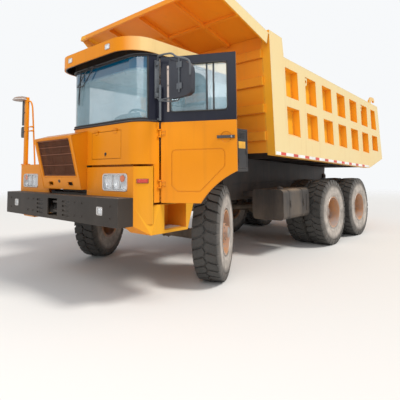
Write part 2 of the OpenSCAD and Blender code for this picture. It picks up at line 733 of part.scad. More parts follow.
// Seats: middle, width
seat_table = [[1120, 500], [420, 440]];
module seats() {
    color(GREY) for (s = seat_table) {
        y = s[0];
        w = s[1];
        box([180, y - w / 2 + 60, cab_low_z + cab_wall], [560, y + w / 2 - 60, 1850]);
        box([130, y - w / 2, 1850], [640, y + w / 2, 1980]);
        side_view(y - w / 2, y + w / 2) polygon([[130, 1980], [260, 1980], [180, 2640], [70, 2640]]);
    }
}

// Engine and shafts

engine_y = 370;               // half the width of the engine block
gearbox_x = -500;             // rear end of the gearbox
nose_reach = 330;             // the drive axles' flanges, from the axle's middle
flange_t = 30;
flange_disc_r = 75;
module engine() {
    color(STEEL) {
        box([-100, -engine_y, 900], [1100, engine_y, 1550]);
        bar_x(0, 930, 180, gearbox_x, -100 + EPS);
        for (x = [0, 900]) both_sides()
            box([x, engine_y - EPS, rail_top_z + SEAT], [x + 100, rail_y - 20, rail_top_z + 40]);
        // radiator behind the grille, on the rails
        box([1260, -engine_y, rail_low_z + 60], [1400, engine_y, 1640]);
        box([1390, -hood_y + 40, 1450], [1500, -60, 2050]);
        both_sides() box([1290, engine_y - EPS, rail_top_z + SEAT], [1370, rail_y - 20, rail_top_z + 40]);
    }
}
module propshafts() {
    color(STEEL) {
        shaft([gearbox_x - SEAT, 0, 900], [mid_axle_x + nose_reach, 0, axle_z + 60], 55);
        shaft([mid_axle_x - nose_reach, 0, axle_z + 60], [rear_axle_x + nose_reach, 0, axle_z + 60], 55);
    }
}
// A shaft from a flange at a, backwards to a flange at b
module shaft(a, b, r) {
    start = a - [flange_t / 2, 0, 0];
    d = b + [flange_t / 2, 0, 0] - start;
    bar_x(a[1], a[2], flange_disc_r, a[0] - flange_t, a[0]);
    bar_x(b[1], b[2], flange_disc_r, b[0], b[0] + flange_t);
    translate(start) rotate([0, acos(d[2] / norm(d)), atan2(d[1], d[0])]) cylinder(r = r, h = norm(d));
}

// Front axle and steering

steer_arm = 200;              // length of the steering arms
arm_z = axle_z - 115;
arm_t = 30;
kingpin_r = 28;
tie_pin_r = 15;
beam_z = 560;                 // underside of the axle beam between the springs
spring_y = 430;
spring_pad_z = 740;

module at_kingpin(s) {
    translate([0, s * kingpin_y, 0]) rotate([0, 0, steer_rest]) children();
}
module front_axle() {
    color(STEEL) difference() {
        union() {
            box([-55, -kingpin_y + 190, beam_z], [55, kingpin_y - 190, beam_z + 130]);
            both_sides() {
                // the beam rises to the kingpin boss
                side_beam();
                translate([0, kingpin_y, axle_z - 60]) cylinder(r = 60, h = 120);
                box([-90, spring_y - 60, beam_z + 120], [90, spring_y + 60, spring_pad_z]);
            }
        }
        both_sides() translate([0, kingpin_y, axle_z - 61]) cylinder(r = kingpin_r + RUN, h = 122);
    }
}
module side_beam() {
    translate([-50, 0, 0]) rotate([90, 0, 90]) linear_extrude(100) polygon([[kingpin_y - 300, beam_z],
        [kingpin_y - 40, axle_z - 60], [kingpin_y - 40, axle_z + 55], [kingpin_y - 190, axle_z + 55],
        [kingpin_y - 300, beam_z + 130]]);
}
spindle_r = 45;
front_hub = [120, 290];       // hub from and to, outward from the kingpin
module knuckle(s) {
    color(STEEL) at_kingpin(s) mirror([0, s < 0 ? 1 : 0, 0]) {
        // fork above and below the beam's boss
        for (z = [axle_z - 60 - 5 - 45, axle_z + 65]) difference() {
            union() {
                translate([0, 0, z]) cylinder(r = 60, h = 45);
                box([-50, 0, z], [50, 95, z + 45]);
            }
        }
        box([-60, 68, axle_z - 110], [60, 95, axle_z + 110]);
        translate([0, 0, axle_z - 100]) cylinder(r = kingpin_r, h = 200);
        bar_y(0, axle_z, spindle_r, 90, 250);
    }
    // steering arm, straight back on both sides so that the linkage stays a parallelogram
    color(STEEL) at_kingpin(s) difference() {
        union() {
            box([-steer_arm, -28, arm_z], [0, 28, arm_z + arm_t]);
            translate([-steer_arm, 0, arm_z]) cylinder(r = 32, h = arm_t);
            translate([0, 0, arm_z]) cylinder(r = 60, h = arm_t);
        }
        translate([-steer_arm, 0, arm_z - EPS]) cylinder(r = tie_pin_r + (s > 0 ? RUN : 0.5), h = arm_t + 2 * EPS);
    }
}
function arm_tip(s) = [-steer_arm * cos(steer_rest), s * kingpin_y - steer_arm * sin(steer_rest)];
module tie_rod() {
    z = arm_z - 5 - 40;
    color(STEEL) {
        for (s = [-1, 1]) translate([arm_tip(s)[0], arm_tip(s)[1], z]) {
            cylinder(r = 30, h = 40);
            cylinder(r = tie_pin_r, h = 40 + 5 + arm_t);
        }
        bar_y(arm_tip(1)[0], z + 20, 19, arm_tip(-1)[1], arm_tip(1)[1]);
    }
}

// A pack of leaves as concentric arcs: half length of the longest leaf, leaves, thickness of one, arc radius
module leaf_pack(half, leaves, t, r, w) {
    translate([0, w / 2, r]) rotate([90, 0, 0]) linear_extrude(w)
        for (i = [0:leaves - 1]) intersection() {
            difference() {
                circle(r = r + (i + 1) * t, $fn = 180);
                circle(r = r + i * t, $fn = 180);
            }
            l = half * (1 - 0.8 * i / leaves);
            translate([-l, -r - leaves * t - EPS]) square([2 * l, r]);
        }
}
module leaf_springs() {
    leaves = 7;
    t = 14;
    color(STEEL) both_sides() {
        translate([0, spring_y, spring_pad_z + SEAT + leaves * t]) leaf_pack(640, leaves, t, 1500, 80);
        box([-80, spring_y - 45, spring_pad_z + SEAT + leaves * t - 1], [80, spring_y + 45, spring_pad_z + leaves * t + 20]);
        // hangers under the rail
        for (x = [-1, 1]) box([x * 610 - 45, spring_y - 45, 960], [x * 610 + 45, spring_y + 45, rail_low_z]);
    }
}

// Wheels. Profiles are radius and distance from the wheel's middle plane.

rim_r = rim_d / 2;
rim_t = 16;
flange_r = rim_r + 26;
rim_half = tyre_w / 2 - 12;
tread_r = wheel_r - lug_h;
bead = rim_half - 12 - SEAT;  // the tyre's feet sit between the rim's flanges
half_profile = [[0.72 * wheel_r, tyre_w / 2], [flange_r + 8, rim_half - 2], [flange_r + 4, bead],
    [rim_r + SEAT, bead]];
shoulder = [[tread_r, tyre_w / 2 - 46], [tread_r - 14, tyre_w / 2 - 18], [0.86 * wheel_r, tyre_w / 2 - 4]];
right_profile = concat(shoulder, half_profile);
tyre_profile = concat(right_profile, [for (i = [len(right_profile) - 1:-1:0]) [right_profile[i][0], -right_profile[i][1]]]);
// Plan of one lug: along the tread, and out from its middle. The inner end is a point in a zigzag groove.
lug_len = 116;
lug_lean = 50;
zigzag = 30;
lug_gap = 10;                 // half the zigzag groove
lug_plan = [[(lug_lean - lug_len) / 2, tyre_w / 2 - 24], [(lug_lean + lug_len) / 2, tyre_w / 2 - 24],
    [(lug_len - lug_lean) / 2, lug_gap + zigzag / 2], [-lug_lean / 2, lug_gap - zigzag / 2],
    [-(lug_len + lug_lean) / 2, lug_gap + zigzag / 2]];
lug_top = sqrt(wheel_r * wheel_r - pow((lug_len + lug_lean) / 2, 2));

// A revolved profile about the axle, whose second value is the distance along +Y
module round_wheel() {
    rotate([-90, 0, 0]) rotate_extrude() children();
}
module tyre() {
    color(RUBBER) {
        round_wheel() polygon(tyre_profile);
        for (s = [0, 1], i = [0:lugs - 1])
            rotate([0, (i + s / 2) * 360 / lugs, 0]) mirror([0, s, 0])
                translate([0, 0, tread_r - 40]) linear_extrude(lug_top - tread_r + 40) polygon(lug_plan);
    }
}
// A rim barrel with its two flanges, in the half plane of a revolve
module rim_section() {
    translate([rim_r - rim_t, -rim_half]) square([rim_t, 2 * rim_half]);
    for (y = [-rim_half, rim_half - 12]) translate([rim_r - rim_t, y]) square([flange_r - rim_r + rim_t, 12]);
}
module front_rim() {
    color(CREAM) difference() {
        round_wheel() {
            rim_section();
            translate([100, 60]) square([rim_r - rim_t + 2 - 100, 26]);
            translate([0, front_hub[0] - kingpin_offset]) square([130, front_hub[1] - front_hub[0]]);
            translate([0, front_hub[1] - kingpin_offset - 1]) square([85, 50]);
        }
        bar_y(0, 0, spindle_r + RUN, front_hub[0] - kingpin_offset - EPS, 255 - kingpin_offset);
        for (i = [0:9]) rotate([0, i * 36, 0]) bar_y(215, 0, 34, 50, 100);
    }
}
module front_wheel(s) {
    at_kingpin(s) mirror([0, s < 0 ? 1 : 0, 0]) translate([0, kingpin_offset, axle_z]) children();
}
twin_inner_y = twin_outer_y - twin_pitch;
disc_y = (twin_outer_y + twin_inner_y) / 2;
axle_spindle_r = 70;
module twin_rims() {
    color(CREAM) difference() {
        round_wheel() {
            for (y = [twin_inner_y, twin_outer_y]) translate([0, y]) rim_section();
            translate([rim_r - rim_t, twin_inner_y]) square([rim_t, twin_pitch]);
            translate([100, disc_y - 16]) square([rim_r - rim_t + 2 - 100, 32]);
            translate([0, disc_y - 16]) square([165, 230]);
            translate([0, disc_y + 213]) square([110, 45]);
        }
        bar_y(0, 0, axle_spindle_r + RUN, disc_y - 17, disc_y + 130);
        for (i = [0:9]) rotate([0, i * 36, 0]) bar_y(235, 0, 30, disc_y - 20, disc_y + 20);
    }
}
module twin_tyres() {
    for (y = [twin_inner_y, twin_outer_y]) translate([0, y, 0]) tyre();
}
module twin_wheel(x, s) {
    translate([x, 0, axle_z]) mirror([0, s < 0 ? 1 : 0, 0]) children();
}

// Rear bogie

bogie_spring_y = 640;
drum_r = 215;
housing_r = 95;
module drive_axle(x) {
    translate([x, 0, axle_z]) {
        round_wheel() polygon([[0, -disc_y + 40], [drum_r, -disc_y + 40], [drum_r, -disc_y + 260],
            [housing_r, -disc_y + 280], [housing_r, -420], [230, -180], [230, 180], [housing_r, 420],
            [housing_r, disc_y - 280], [drum_r, disc_y - 260], [drum_r, disc_y - 40], [0, disc_y - 40]]);
        bar_y(0, 0, axle_spindle_r, -disc_y - 100, disc_y + 100);
        bar_x(0, 60, 90, -nose_reach + SEAT, nose_reach - SEAT);
        both_sides() {
            box([-100, bogie_spring_y - 60, 40], [100, bogie_spring_y + 60, 130]);
            box([-40, torque_y - 30, torque_z - axle_z - 40], [40, torque_y + 30, -housing_r + 20]);
        }
    }
}
module drive_axles() {
    color(STEEL) {
        drive_axle(mid_axle_x);
        drive_axle(rear_axle_x);
    }
}
module bogie() {
    leaves = 9;
    t = 16;
    half = (mid_axle_x - rear_axle_x) / 2 + 60;
    r = 4200;
    // underside of the arched pack, at its middle
    arch_z = axle_z + 130 + SEAT + r - sqrt(r * r - half * half);
    color(STEEL) both_sides() {
        bar_y(trunnion_x, trunnion_z, trunnion_r, rail_y - 40, bogie_spring_y + 70);
        // the long leaves lie lowest and end on the axles' pads
        translate([trunnion_x, bogie_spring_y, arch_z]) mirror([0, 0, 1]) leaf_pack(half, leaves, t, r, 90);
        box([trunnion_x - 110, bogie_spring_y - 60, trunnion_z + 20],
            [trunnion_x + 110, bogie_spring_y + 60, arch_z + 5]);
        // lower torque rods
        bar_x(torque_y, torque_z, 28, trunnion_x + torque_half + SEAT, mid_axle_x - 40 - SEAT);
        bar_x(torque_y, torque_z, 28, rear_axle_x + 40 + SEAT, trunnion_x - torque_half - SEAT);
    }
}

// Tanks and boxes

tank_x = [-2900, -1850];
tank_y = [850, 1500];
tank_z = [670, 1220];
module round_box_x(x, y, z, r) {
    translate([x[0], 0, 0]) rotate([90, 0, 90]) linear_extrude(x[1] - x[0]) {
        translate([y[0] + r, z[0]]) square([y[1] - y[0] - 2 * r, z[1] - z[0]]);
        translate([y[0], z[0] + r]) square([y[1] - y[0], z[1] - z[0] - 2 * r]);
        for (a = [y[0] + r, y[1] - r], b = [z[0] + r, z[1] - r]) translate([a, b]) circle(r = r);
    }
}
module tank_brackets() {
    for (x = [-2650, -2100]) {
        box([x - 30, rail_y, 1060], [x + 30, tank_y[0], 1160]);
    }
}
module fuel_tank() {
    color(GREY) {
        round_box_x(tank_x, tank_y, tank_z, 80);
        tank_brackets();
        translate([-2000, 1350, tank_z[1] - 1]) cylinder(r = 55, h = 40);
    }
}
module side_boxes() {
    color(BLACK) {
        // tall box behind the cab, on its deck
        box([-576, 1250, 1593], [-297, cab_y, 2212]);
        box([-576, beam_y - 45, 1563], [-297, cab_y, 1593]);
        box([-500, beam_y - 45, rail_top_z], [-400, beam_y + 45, 1563]);
        mirror([0, 1, 0]) {
            box([-2900, tank_y[0], 720], [-2250, 1480, 1220]);
            for (z = [850, 1100]) bar_x(1180, z, 115, -2150, -1450);
            box([-1900, rail_y, 1020], [-1840, 1180, 1130]);
            box([-1900, 1160, 850], [-1840, 1200, 1100]);
            box([-2650, rail_y, 1060], [-2590, tank_y[0], 1160]);
        }
    }
}

// Dump body. body_at() turns a place in the body's own side view into the truck's.

function body_at(x, z) = [body_front_x + x * cos(body_tilt) - z * sin(body_tilt),
    body_front_z + x * sin(body_tilt) + z * cos(body_tilt)];
module in_body() {
    translate([body_front_x, 0, body_front_z]) rotate([0, -body_tilt, 0]) children();
}
plate_t = 20;
floor_z = 160;                // underside of the floor plate in the body's view
side_in_y = body_y - post_depth - plate_t;
rows = [[385, 898], [1080, 1602]];   // foot and top of the two rows of panels
first_panel_x = -465;         // front edge of the first lower panel, at its foot
tail_x = -floor_len - tail_len * cos(tail_rise);
tail_z = tail_len * sin(tail_rise);
function lean_x(z) = z * tan(post_lean);
function rear_x(z) = tail_x + (z - tail_z) * tan(tail_rise - 3);
side_outline = [[0, 0], [lean_x(post_h), post_h], [lean_x(post_h) - 448, post_h - 12],
    [lean_x(side_h) - 480, side_h], [rear_x(side_h), side_h], [tail_x, tail_z], [-floor_len, 0]];
last_post_w = 300;
shelf = 65;                   // rise of the sloping shelf under the lower panels
lug_panels = [1, 5];          // panels with a lifting lug

function panel_x0(i, z) = first_panel_x - i * panel_pitch + lean_x(z - rows[0][0]);
function panel_x1(i, z) = max(panel_x0(i, z) - panel_w, rear_x(z) + last_post_w);
module panel_hole(i, row) {
    z0 = rows[row][0] + (i == side_panels - 1 && row == 0 ? 110 : 0);
    z1 = rows[row][1];
    polygon([[panel_x0(i, z0), z0], [panel_x0(i, z1), z1], [panel_x1(i, z1), z1], [panel_x1(i, z0), z0]]);
}
module body_side() {
    side_view(side_in_y, side_in_y + plate_t) polygon(side_outline);
    side_view(body_y - post_depth - EPS, body_y) difference() {
        polygon(side_outline);
        for (i = [0:side_panels - 1], row = [0, 1]) panel_hole(i, row);
    }
    // lifting lugs in the upper front corner of two panels
    for (i = lug_panels) side_view(body_y - post_depth - EPS, body_y - 15) difference() {
        polygon([[panel_x0(i, rows[1][1]) + EPS, rows[1][1] + EPS], [panel_x0(i, rows[1][1]) - 130, rows[1][1] + EPS],
            [panel_x0(i, rows[1][1]) - 110, rows[1][1] - 150], [panel_x0(i, rows[1][1]) - 15, rows[1][1] - 190]]);
        translate([panel_x0(i, rows[1][1]) - 65, rows[1][1] - 85]) circle(r = 28);
    }
    // sloping shelf along the foot of the lower panels
    translate([-floor_len - 300, 0, 0]) rotate([90, 0, 90]) linear_extrude(floor_len - 150)
        polygon([[body_y - post_depth, rows[0][0]], [body_y, rows[0][0]], [body_y - post_depth, rows[0][0] + shelf]]);
}
// Hooks at the top rear corners, drawn ahead of and above the end of the top rail
tail_hook = [[560, SEAT], [500, 120], [350, 225], [130, 240], [60, 185], [60, 125], [115, 105], [150, 145],
    [290, 140], [380, 60], [380, SEAT]];
module tail_hooks() {
    color(ORANGE) in_body() both_sides() side_view(body_y - 95, body_y - 55)
        translate([rear_x(side_h), side_h]) polygon(tail_hook);
}
module body_sides() {
    color(ORANGE) in_body() both_sides() body_side();
}
// Back face of the front wall
function wall_back_x(z) = z * tan(post_lean) - plate_t / cos(post_lean);
floor_profile = [[wall_back_x(floor_z) - SEAT, floor_z],
    [wall_back_x(floor_z + plate_t) - SEAT, floor_z + plate_t],
    [-floor_len - (floor_z + plate_t) * tan(tail_rise / 2), floor_z + plate_t],
    [tail_x - (floor_z + plate_t) * sin(tail_rise), tail_z + (floor_z + plate_t) * cos(tail_rise)],
    [tail_x - floor_z * sin(tail_rise), tail_z + floor_z * cos(tail_rise)],
    [-floor_len - floor_z * tan(tail_rise / 2), floor_z]];
floor_w = side_in_y - SEAT;
module body_floor() {
    color(ORANGE) in_body() side_view(-floor_w, floor_w) polygon(floor_profile);
}
sill_z = 30;                  // foot of the cross beams in the body's view
module body_beams() {
    color(BLACK) {
        // cross beams in line with the posts
        in_body() for (i = [0:side_panels - 2])
            box([panel_x0(i, 0) - panel_w - 200, -floor_w, sill_z], [panel_x0(i, 0) - panel_w - 100, floor_w, floor_z - SEAT]);
        // long beams down to the frame, with an eye round the tipping pin
        both_sides() difference() {
            side_view(beam_y - beam_w / 2, beam_y + beam_w / 2) {
                polygon([[-1400, rail_top_z + SEAT], body_at(-100, sill_z - SEAT), body_at(-floor_len + 40, sill_z - SEAT),
                    [tip_x - 74, tip_z], [tip_x, rail_top_z + 5]]);
                translate([tip_x, tip_z]) circle(r = 74);
            }
            bar_y(tip_x, tip_z, tip_pin_r + RUN, 0, body_y);
        }
    }
}
wall_ribs = [255, 727, 1199, 1671];
rib_h = 155;
rib_d = 55;
hoist_head = [-700, 3560];    // X and Z of the hoist's upper eye
bracket_y = [76, 101];        // the two plates that hold the upper eye
bracket_z = [1530, 1910];     // their root, up the front wall
module body_front() {
    w = side_in_y - SEAT;
    color(ORANGE) {
        in_body() rotate([0, post_lean, 0]) {
            box([-plate_t, -w, 40], [0, w, post_h - 20]);
            for (z = wall_ribs) box([-1, -w, z], [rib_d, w, z + rib_h]);
            for (y = [-700, 700]) box([-1, y - 50, wall_ribs[0]], [rib_d - 10, y + 50, wall_ribs[3]]);
        }
        // bracket for the hoist's upper eye
        both_sides() side_view(bracket_y[0], bracket_y[1]) difference() {
            polygon([body_at(lean_x(bracket_z[0]) - 8, bracket_z[0]), hoist_head + [40, -70],
                hoist_head + [70, -30], hoist_head + [70, 40], hoist_head + [30, 75],
                body_at(lean_x(bracket_z[1]) - 8, bracket_z[1])]);
            translate(hoist_head) circle(r = hoist_pin_r);
        }
    }
}
guard_ribs = [-850, 0, 850];
guard_edge = 95;              // depth of the front and middle ribs
cheek_h = [215, 150];         // depth of the side cheeks at the wall and at the tip
module cab_guard() {
    root = body_at(lean_x(post_h - 60) + SEAT, post_h - 60);
    color(ORANGE) translate([root[0], 0, root[1]]) rotate([0, -guard_rise, 0]) {
        box([0, -body_y, -plate_t], [guard_len, body_y, 0]);
        box([guard_len - 40, -body_y, -guard_edge], [guard_len, body_y, 0]);
        box([guard_len * 0.46, -body_y + 30, -guard_edge + 20], [guard_len * 0.46 + 60, body_y - 30, -1]);
        for (y = guard_ribs) box([25, y - 35, -guard_edge + 10], [guard_len - 30, y + 35, -1]);
        both_sides() side_view(body_y - 30, body_y)
            polygon([[30, 0], [30, -cheek_h[0]], [guard_len - 180, -cheek_h[1]], [guard_len, -60], [guard_len, 0]]);
    }
}

// Telescopic hoist between the cab and the body

hoist_vec = hoist_head - hoist_foot;
hoist_len = norm(hoist_vec);
hoist_lean = atan2(-hoist_vec[0], hoist_vec[1]);
barrel_r = 125;
sleeve_r = 95;
rod_r = 68;
module on_hoist() {
    translate([hoist_foot[0], 0, hoist_foot[1]]) rotate([0, -hoist_lean, 0]) children();
}
module hoist_barrel() {
    color(BLACK) on_hoist() difference() {
        union() {
            translate([0, 0, 60]) cylinder(r = barrel_r, h = hoist_len - 260);
            side_view(-130, 130) {
                circle(r = 55);
                translate([-55, 0]) square([110, 90]);
            }
        }
        translate([0, 0, 120]) cylinder(r = sleeve_r + RUN, h = hoist_len);
        bar_y(0, 0, hoist_pin_r + RUN, -200, 200);
    }
}
module hoist_sleeve() {
    color(STEEL) on_hoist() difference() {
        translate([0, 0, 130]) cylinder(r = sleeve_r, h = hoist_len - 300);
        translate([0, 0, 170]) cylinder(r = rod_r + RUN, h = hoist_len);
    }
}
module hoist_rod() {
    color(STEEL) on_hoist() difference() {
        union() {
            translate([0, 0, 180]) cylinder(r = rod_r, h = hoist_len - 180 - 40);
            side_view(-64, 64) {
                translate([0, hoist_len]) circle(r = 55);
                translate([-45, hoist_len - 60]) square([90, 60]);
            }
        }
        bar_y(0, hoist_len, 31, -100, 100);
    }
}

// Mirrors

module mirror_head(w, h, t) {
    round_box_x([0, t], [-w / 2, w / 2], [-h / 2, h / 2], min(w, h) / 5);
}
module mirror_left() {
    x = 1330;
    color(BLACK) {
        translate([x, 2025, 2635]) mirror_head(350, 490, 70);
        // stays from the front pillar
        for (z = [2480, 2860]) bar_y(x + 35, z, 12, cab_y + 5, 1870);
        box([x - 22, cab_y + SEAT, 2440], [x + 50, cab_y + 12, 2900]);
    }
}
// Grab bar ahead of the door
grab_x = 1330;
grab_z = [2175, 2600];
module grab_bar() {
    color(GREY) {
        translate([grab_x, cab_y + 45, grab_z[0]]) cylinder(r = 14, h = grab_z[1] - grab_z[0]);
        box([grab_x - 10, cab_y + SEAT, grab_z[0] + 10], [grab_x + 10, cab_y + 45, grab_z[0] + 30]);
        box([grab_x - 10, cab_y + 12 + SEAT, grab_z[1] - 30], [grab_x + 10, cab_y + 45, grab_z[1] - 10]);
    }
}
post_x = 1490;
post_y = -1486;
module mirror_right() {
    color(ORANGE) {
        box([post_x - 25, post_y - 40, deck_z + SEAT], [post_x + 25, post_y + 40, 2860]);
        box([post_x - 60, post_y - 60, deck_z + SEAT], [post_x + 60, post_y + 60, deck_z + 12]);
    }
    color(BLACK) {
        translate([post_x - 20, post_y - 95, 2600]) mirror_head(120, 430, 60);
        translate([post_x - 20, post_y - 105, 2270]) mirror_head(150, 190, 60);
        // domed mirror on its arm
        translate([post_x + 60, post_y - 100, 2850]) intersection() {
            translate([0, 0, -70]) sphere(r = 150);
            cylinder(r = 150, h = 100);
        }
        box([post_x - 10, post_y - 110, 2830], [post_x + 70, post_y - 30, 2855]);
    }
}

frame();
cross_members();
tail_beam();
tow_jaw();
cab_beams();
bumper();
hood();
grille();
fender_left();
fender_right();
headlamps();
lamps();
cab_body();
cab_frame();
cab_roof();
windscreen();
cab_windows();
door_panel();
door_handle();
door_frame();
door_glass();
service_flap();
dashboard();
seats();
engine();
front_axle();
leaf_springs();
knuckle(1);  // knuckle_left
knuckle(-1);  // knuckle_right
tie_rod();
front_wheel(1) front_rim();  // front_rim_left
front_wheel(-1) front_rim();  // front_rim_right
front_wheel(1) tyre();  // front_tyre_left
front_wheel(-1) tyre();  // front_tyre_right
twin_wheel(mid_axle_x, 1) twin_rims();  // mid_rims_left
twin_wheel(mid_axle_x, -1) twin_rims();  // mid_rims_right
twin_wheel(rear_axle_x, 1) twin_rims();  // rear_rims_left
twin_wheel(rear_axle_x, -1) twin_rims();  // rear_rims_right
twin_wheel(mid_axle_x, 1) twin_tyres();  // mid_tyres_left
twin_wheel(mid_axle_x, -1) twin_tyres();  // mid_tyres_right
twin_wheel(rear_axle_x, 1) twin_tyres();  // rear_tyres_left
twin_wheel(rear_axle_x, -1) twin_tyres();  // rear_tyres_right
drive_axles();
bogie();
propshafts();
fuel_tank();
side_boxes();
body_floor();
body_beams();
body_sides();
tail_hooks();
body_front();
cab_guard();
hoist_barrel();
hoist_sleeve();
hoist_rod();
mirror_left();
mirror_right();
grab_bar();
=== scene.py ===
import json
import math

import bmesh
import bpy
from mathutils import Matrix, Vector


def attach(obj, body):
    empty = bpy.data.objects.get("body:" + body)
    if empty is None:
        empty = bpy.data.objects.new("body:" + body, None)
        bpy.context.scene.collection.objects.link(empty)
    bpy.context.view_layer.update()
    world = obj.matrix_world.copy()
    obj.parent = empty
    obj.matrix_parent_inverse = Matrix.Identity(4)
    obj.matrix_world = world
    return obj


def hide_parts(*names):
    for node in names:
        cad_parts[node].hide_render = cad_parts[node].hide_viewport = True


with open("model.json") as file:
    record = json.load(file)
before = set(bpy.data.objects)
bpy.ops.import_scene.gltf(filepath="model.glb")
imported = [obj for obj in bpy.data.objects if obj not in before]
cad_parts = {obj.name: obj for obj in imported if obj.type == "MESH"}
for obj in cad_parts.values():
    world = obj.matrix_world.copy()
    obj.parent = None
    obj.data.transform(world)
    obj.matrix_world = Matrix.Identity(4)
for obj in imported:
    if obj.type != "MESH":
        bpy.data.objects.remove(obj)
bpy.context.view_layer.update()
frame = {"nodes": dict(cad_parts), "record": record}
scene = bpy.context.scene
print("frame loaded")


# Node graphs. A socket is given a number, a colour, a vector or another node's output.

def setInputs(tree, node, inputs):
    for key, value in inputs.items():
        socket = node.inputs[key]
        if isinstance(value, bpy.types.NodeSocket):
            tree.links.new(value, socket)
        elif isinstance(value, tuple) and len(socket.default_value) == 4:
            socket.default_value = (*value, 1)
        else:
            socket.default_value = value


def addNode(tree, kind, inputs=None, **settings):
    node = tree.nodes.new("ShaderNode" + kind)
    for key, value in settings.items():
        setattr(node, key, value)
    setInputs(tree, node, inputs or {})
    return node


def startTree(owner):
    owner.use_nodes = True
    owner.node_tree.nodes.clear()
    return owner.node_tree


def addMath(tree, kind, first, second=0.0, clamp=False):
    return addNode(tree, "Math", {0: first, 1: second}, operation=kind, use_clamp=clamp).outputs[0]


def addProduct(tree, *factors, clamp=False):
    product = factors[0]
    for i, factor in enumerate(factors[1:]):
        product = addMath(tree, "MULTIPLY", product, factor, clamp and i == len(factors) - 2)
    return product


def addRange(tree, value, low, high, newLow=0.0, newHigh=1.0):
    values = {"Value": value, "From Min": low, "From Max": high, "To Min": newLow, "To Max": newHigh}
    return addNode(tree, "MapRange", values).outputs["Result"]


def addMix(tree, factor, first, second):
    return addNode(tree, "Mix", {"Factor": factor, "A": first, "B": second}, data_type="RGBA").outputs["Result"]


# X, Y and Z of a point's place, or of the way its face looks
def addParts(tree, kind):
    return addNode(tree, "SeparateXYZ", {0: addNode(tree, "TexCoord").outputs[kind]}).outputs


def addNoise(tree, scale, detail=4.0, stretch=(1, 1, 1), roughness=0.55):
    where = addNode(tree, "TexCoord").outputs["Object"]
    mapped = addNode(tree, "Mapping", {"Vector": where, "Scale": stretch}).outputs[0]
    values = {"Vector": mapped, "Scale": scale, "Detail": detail, "Roughness": roughness}
    return addNode(tree, "TexNoise", values).outputs["Fac"]


def addRounded(tree, radius):
    return addNode(tree, "Bevel", {"Radius": radius}, samples=4).outputs[0]


# Camera, fitted to the photo's view

cameraLook = {
    "place": (4.381, 4.869, 1.584), "yaw": -137.979, "pitch": 4.504, "roll": -0.542,
    "lens": 34.043, "shift": (0.0244, -0.1478), "clipEnd": 300,
}


def makeCamera(look):
    yaw, pitch, roll = (math.radians(look[k]) for k in ("yaw", "pitch", "roll"))
    forward = Vector((math.cos(yaw) * math.cos(pitch), math.sin(yaw) * math.cos(pitch), math.sin(pitch)))
    level = Vector((math.sin(yaw), -math.cos(yaw), 0))
    upright = level.cross(forward)
    right = level * math.cos(roll) + upright * math.sin(roll)
    up = upright * math.cos(roll) - level * math.sin(roll)
    data = bpy.data.cameras.new("camera")
    data.lens = look["lens"]
    data.shift_x, data.shift_y = look["shift"]
    data.clip_end = look["clipEnd"]
    camera = bpy.data.objects.new("camera", data)
    camera.matrix_world = Matrix.Translation(look["place"]) @ Matrix((right, up, -forward)).transposed().to_4x4()
    scene.collection.objects.link(camera)
    scene.camera = camera


makeCamera(cameraLook)
scene.view_settings.view_transform = "Standard"


# Lamps, world and floor

studio = {
    "worldColour": (0.93, 0.95, 1.0), "worldLight": 0.52, "skyColour": (0.93, 0.945, 0.96),
    "floorColour": (0.80, 0.79, 0.77), "floorFade": (13.0, 30.0), "floorRadius": 60,
    "sunColour": (1.0, 0.965, 0.91), "sunPower": 2.15, "sunPlace": (0, 0, 12), "sunAim": (0.16, -0.66, -0.95),
    "sunSoftness": 14.0, "keyPower": 470, "keyPlace": (9.0, 5.0, 7.5), "keyTarget": (0, 0, 1.8), "keySize": 7.0,
}


def addLamp(name, kind, power, place, target):
    data = bpy.data.lights.new(name, kind)
    data.energy = power
    lamp = bpy.data.objects.new(name, data)
    scene.collection.objects.link(lamp)
    lamp.location = place
    lamp.rotation_mode = "QUATERNION"
    lamp.rotation_quaternion = (Vector(target) - Vector(place)).to_track_quat("-Z", "Y")
    return data


def makeStudio(look):
    sun = addLamp("sun", "SUN", look["sunPower"], look["sunPlace"], Vector(look["sunPlace"]) + Vector(look["sunAim"]))
    sun.color = look["sunColour"]
    sun.angle = math.radians(look["sunSoftness"])
    addLamp("key", "AREA", look["keyPower"], look["keyPlace"], look["keyTarget"]).size = look["keySize"]
    # the world lights the truck softly, and shows and mirrors as a pale sky
    scene.world = bpy.data.worlds.new("world")
    tree = startTree(scene.world)
    path = addNode(tree, "LightPath").outputs
    seeing = path["Is Camera Ray"]
    for kind in ("Is Glossy Ray", "Is Transmission Ray"):
        seeing = addMath(tree, "MAXIMUM", seeing, path[kind])
    light = addNode(tree, "Background", {"Color": look["worldColour"], "Strength": look["worldLight"]})
    seen = addNode(tree, "Background", {"Color": look["skyColour"], "Strength": 1.0})
    mix = addNode(tree, "MixShader", {0: seeing, 1: light.outputs[0], 2: seen.outputs[0]})
    addNode(tree, "OutputWorld", {"Surface": mix.outputs[0]})


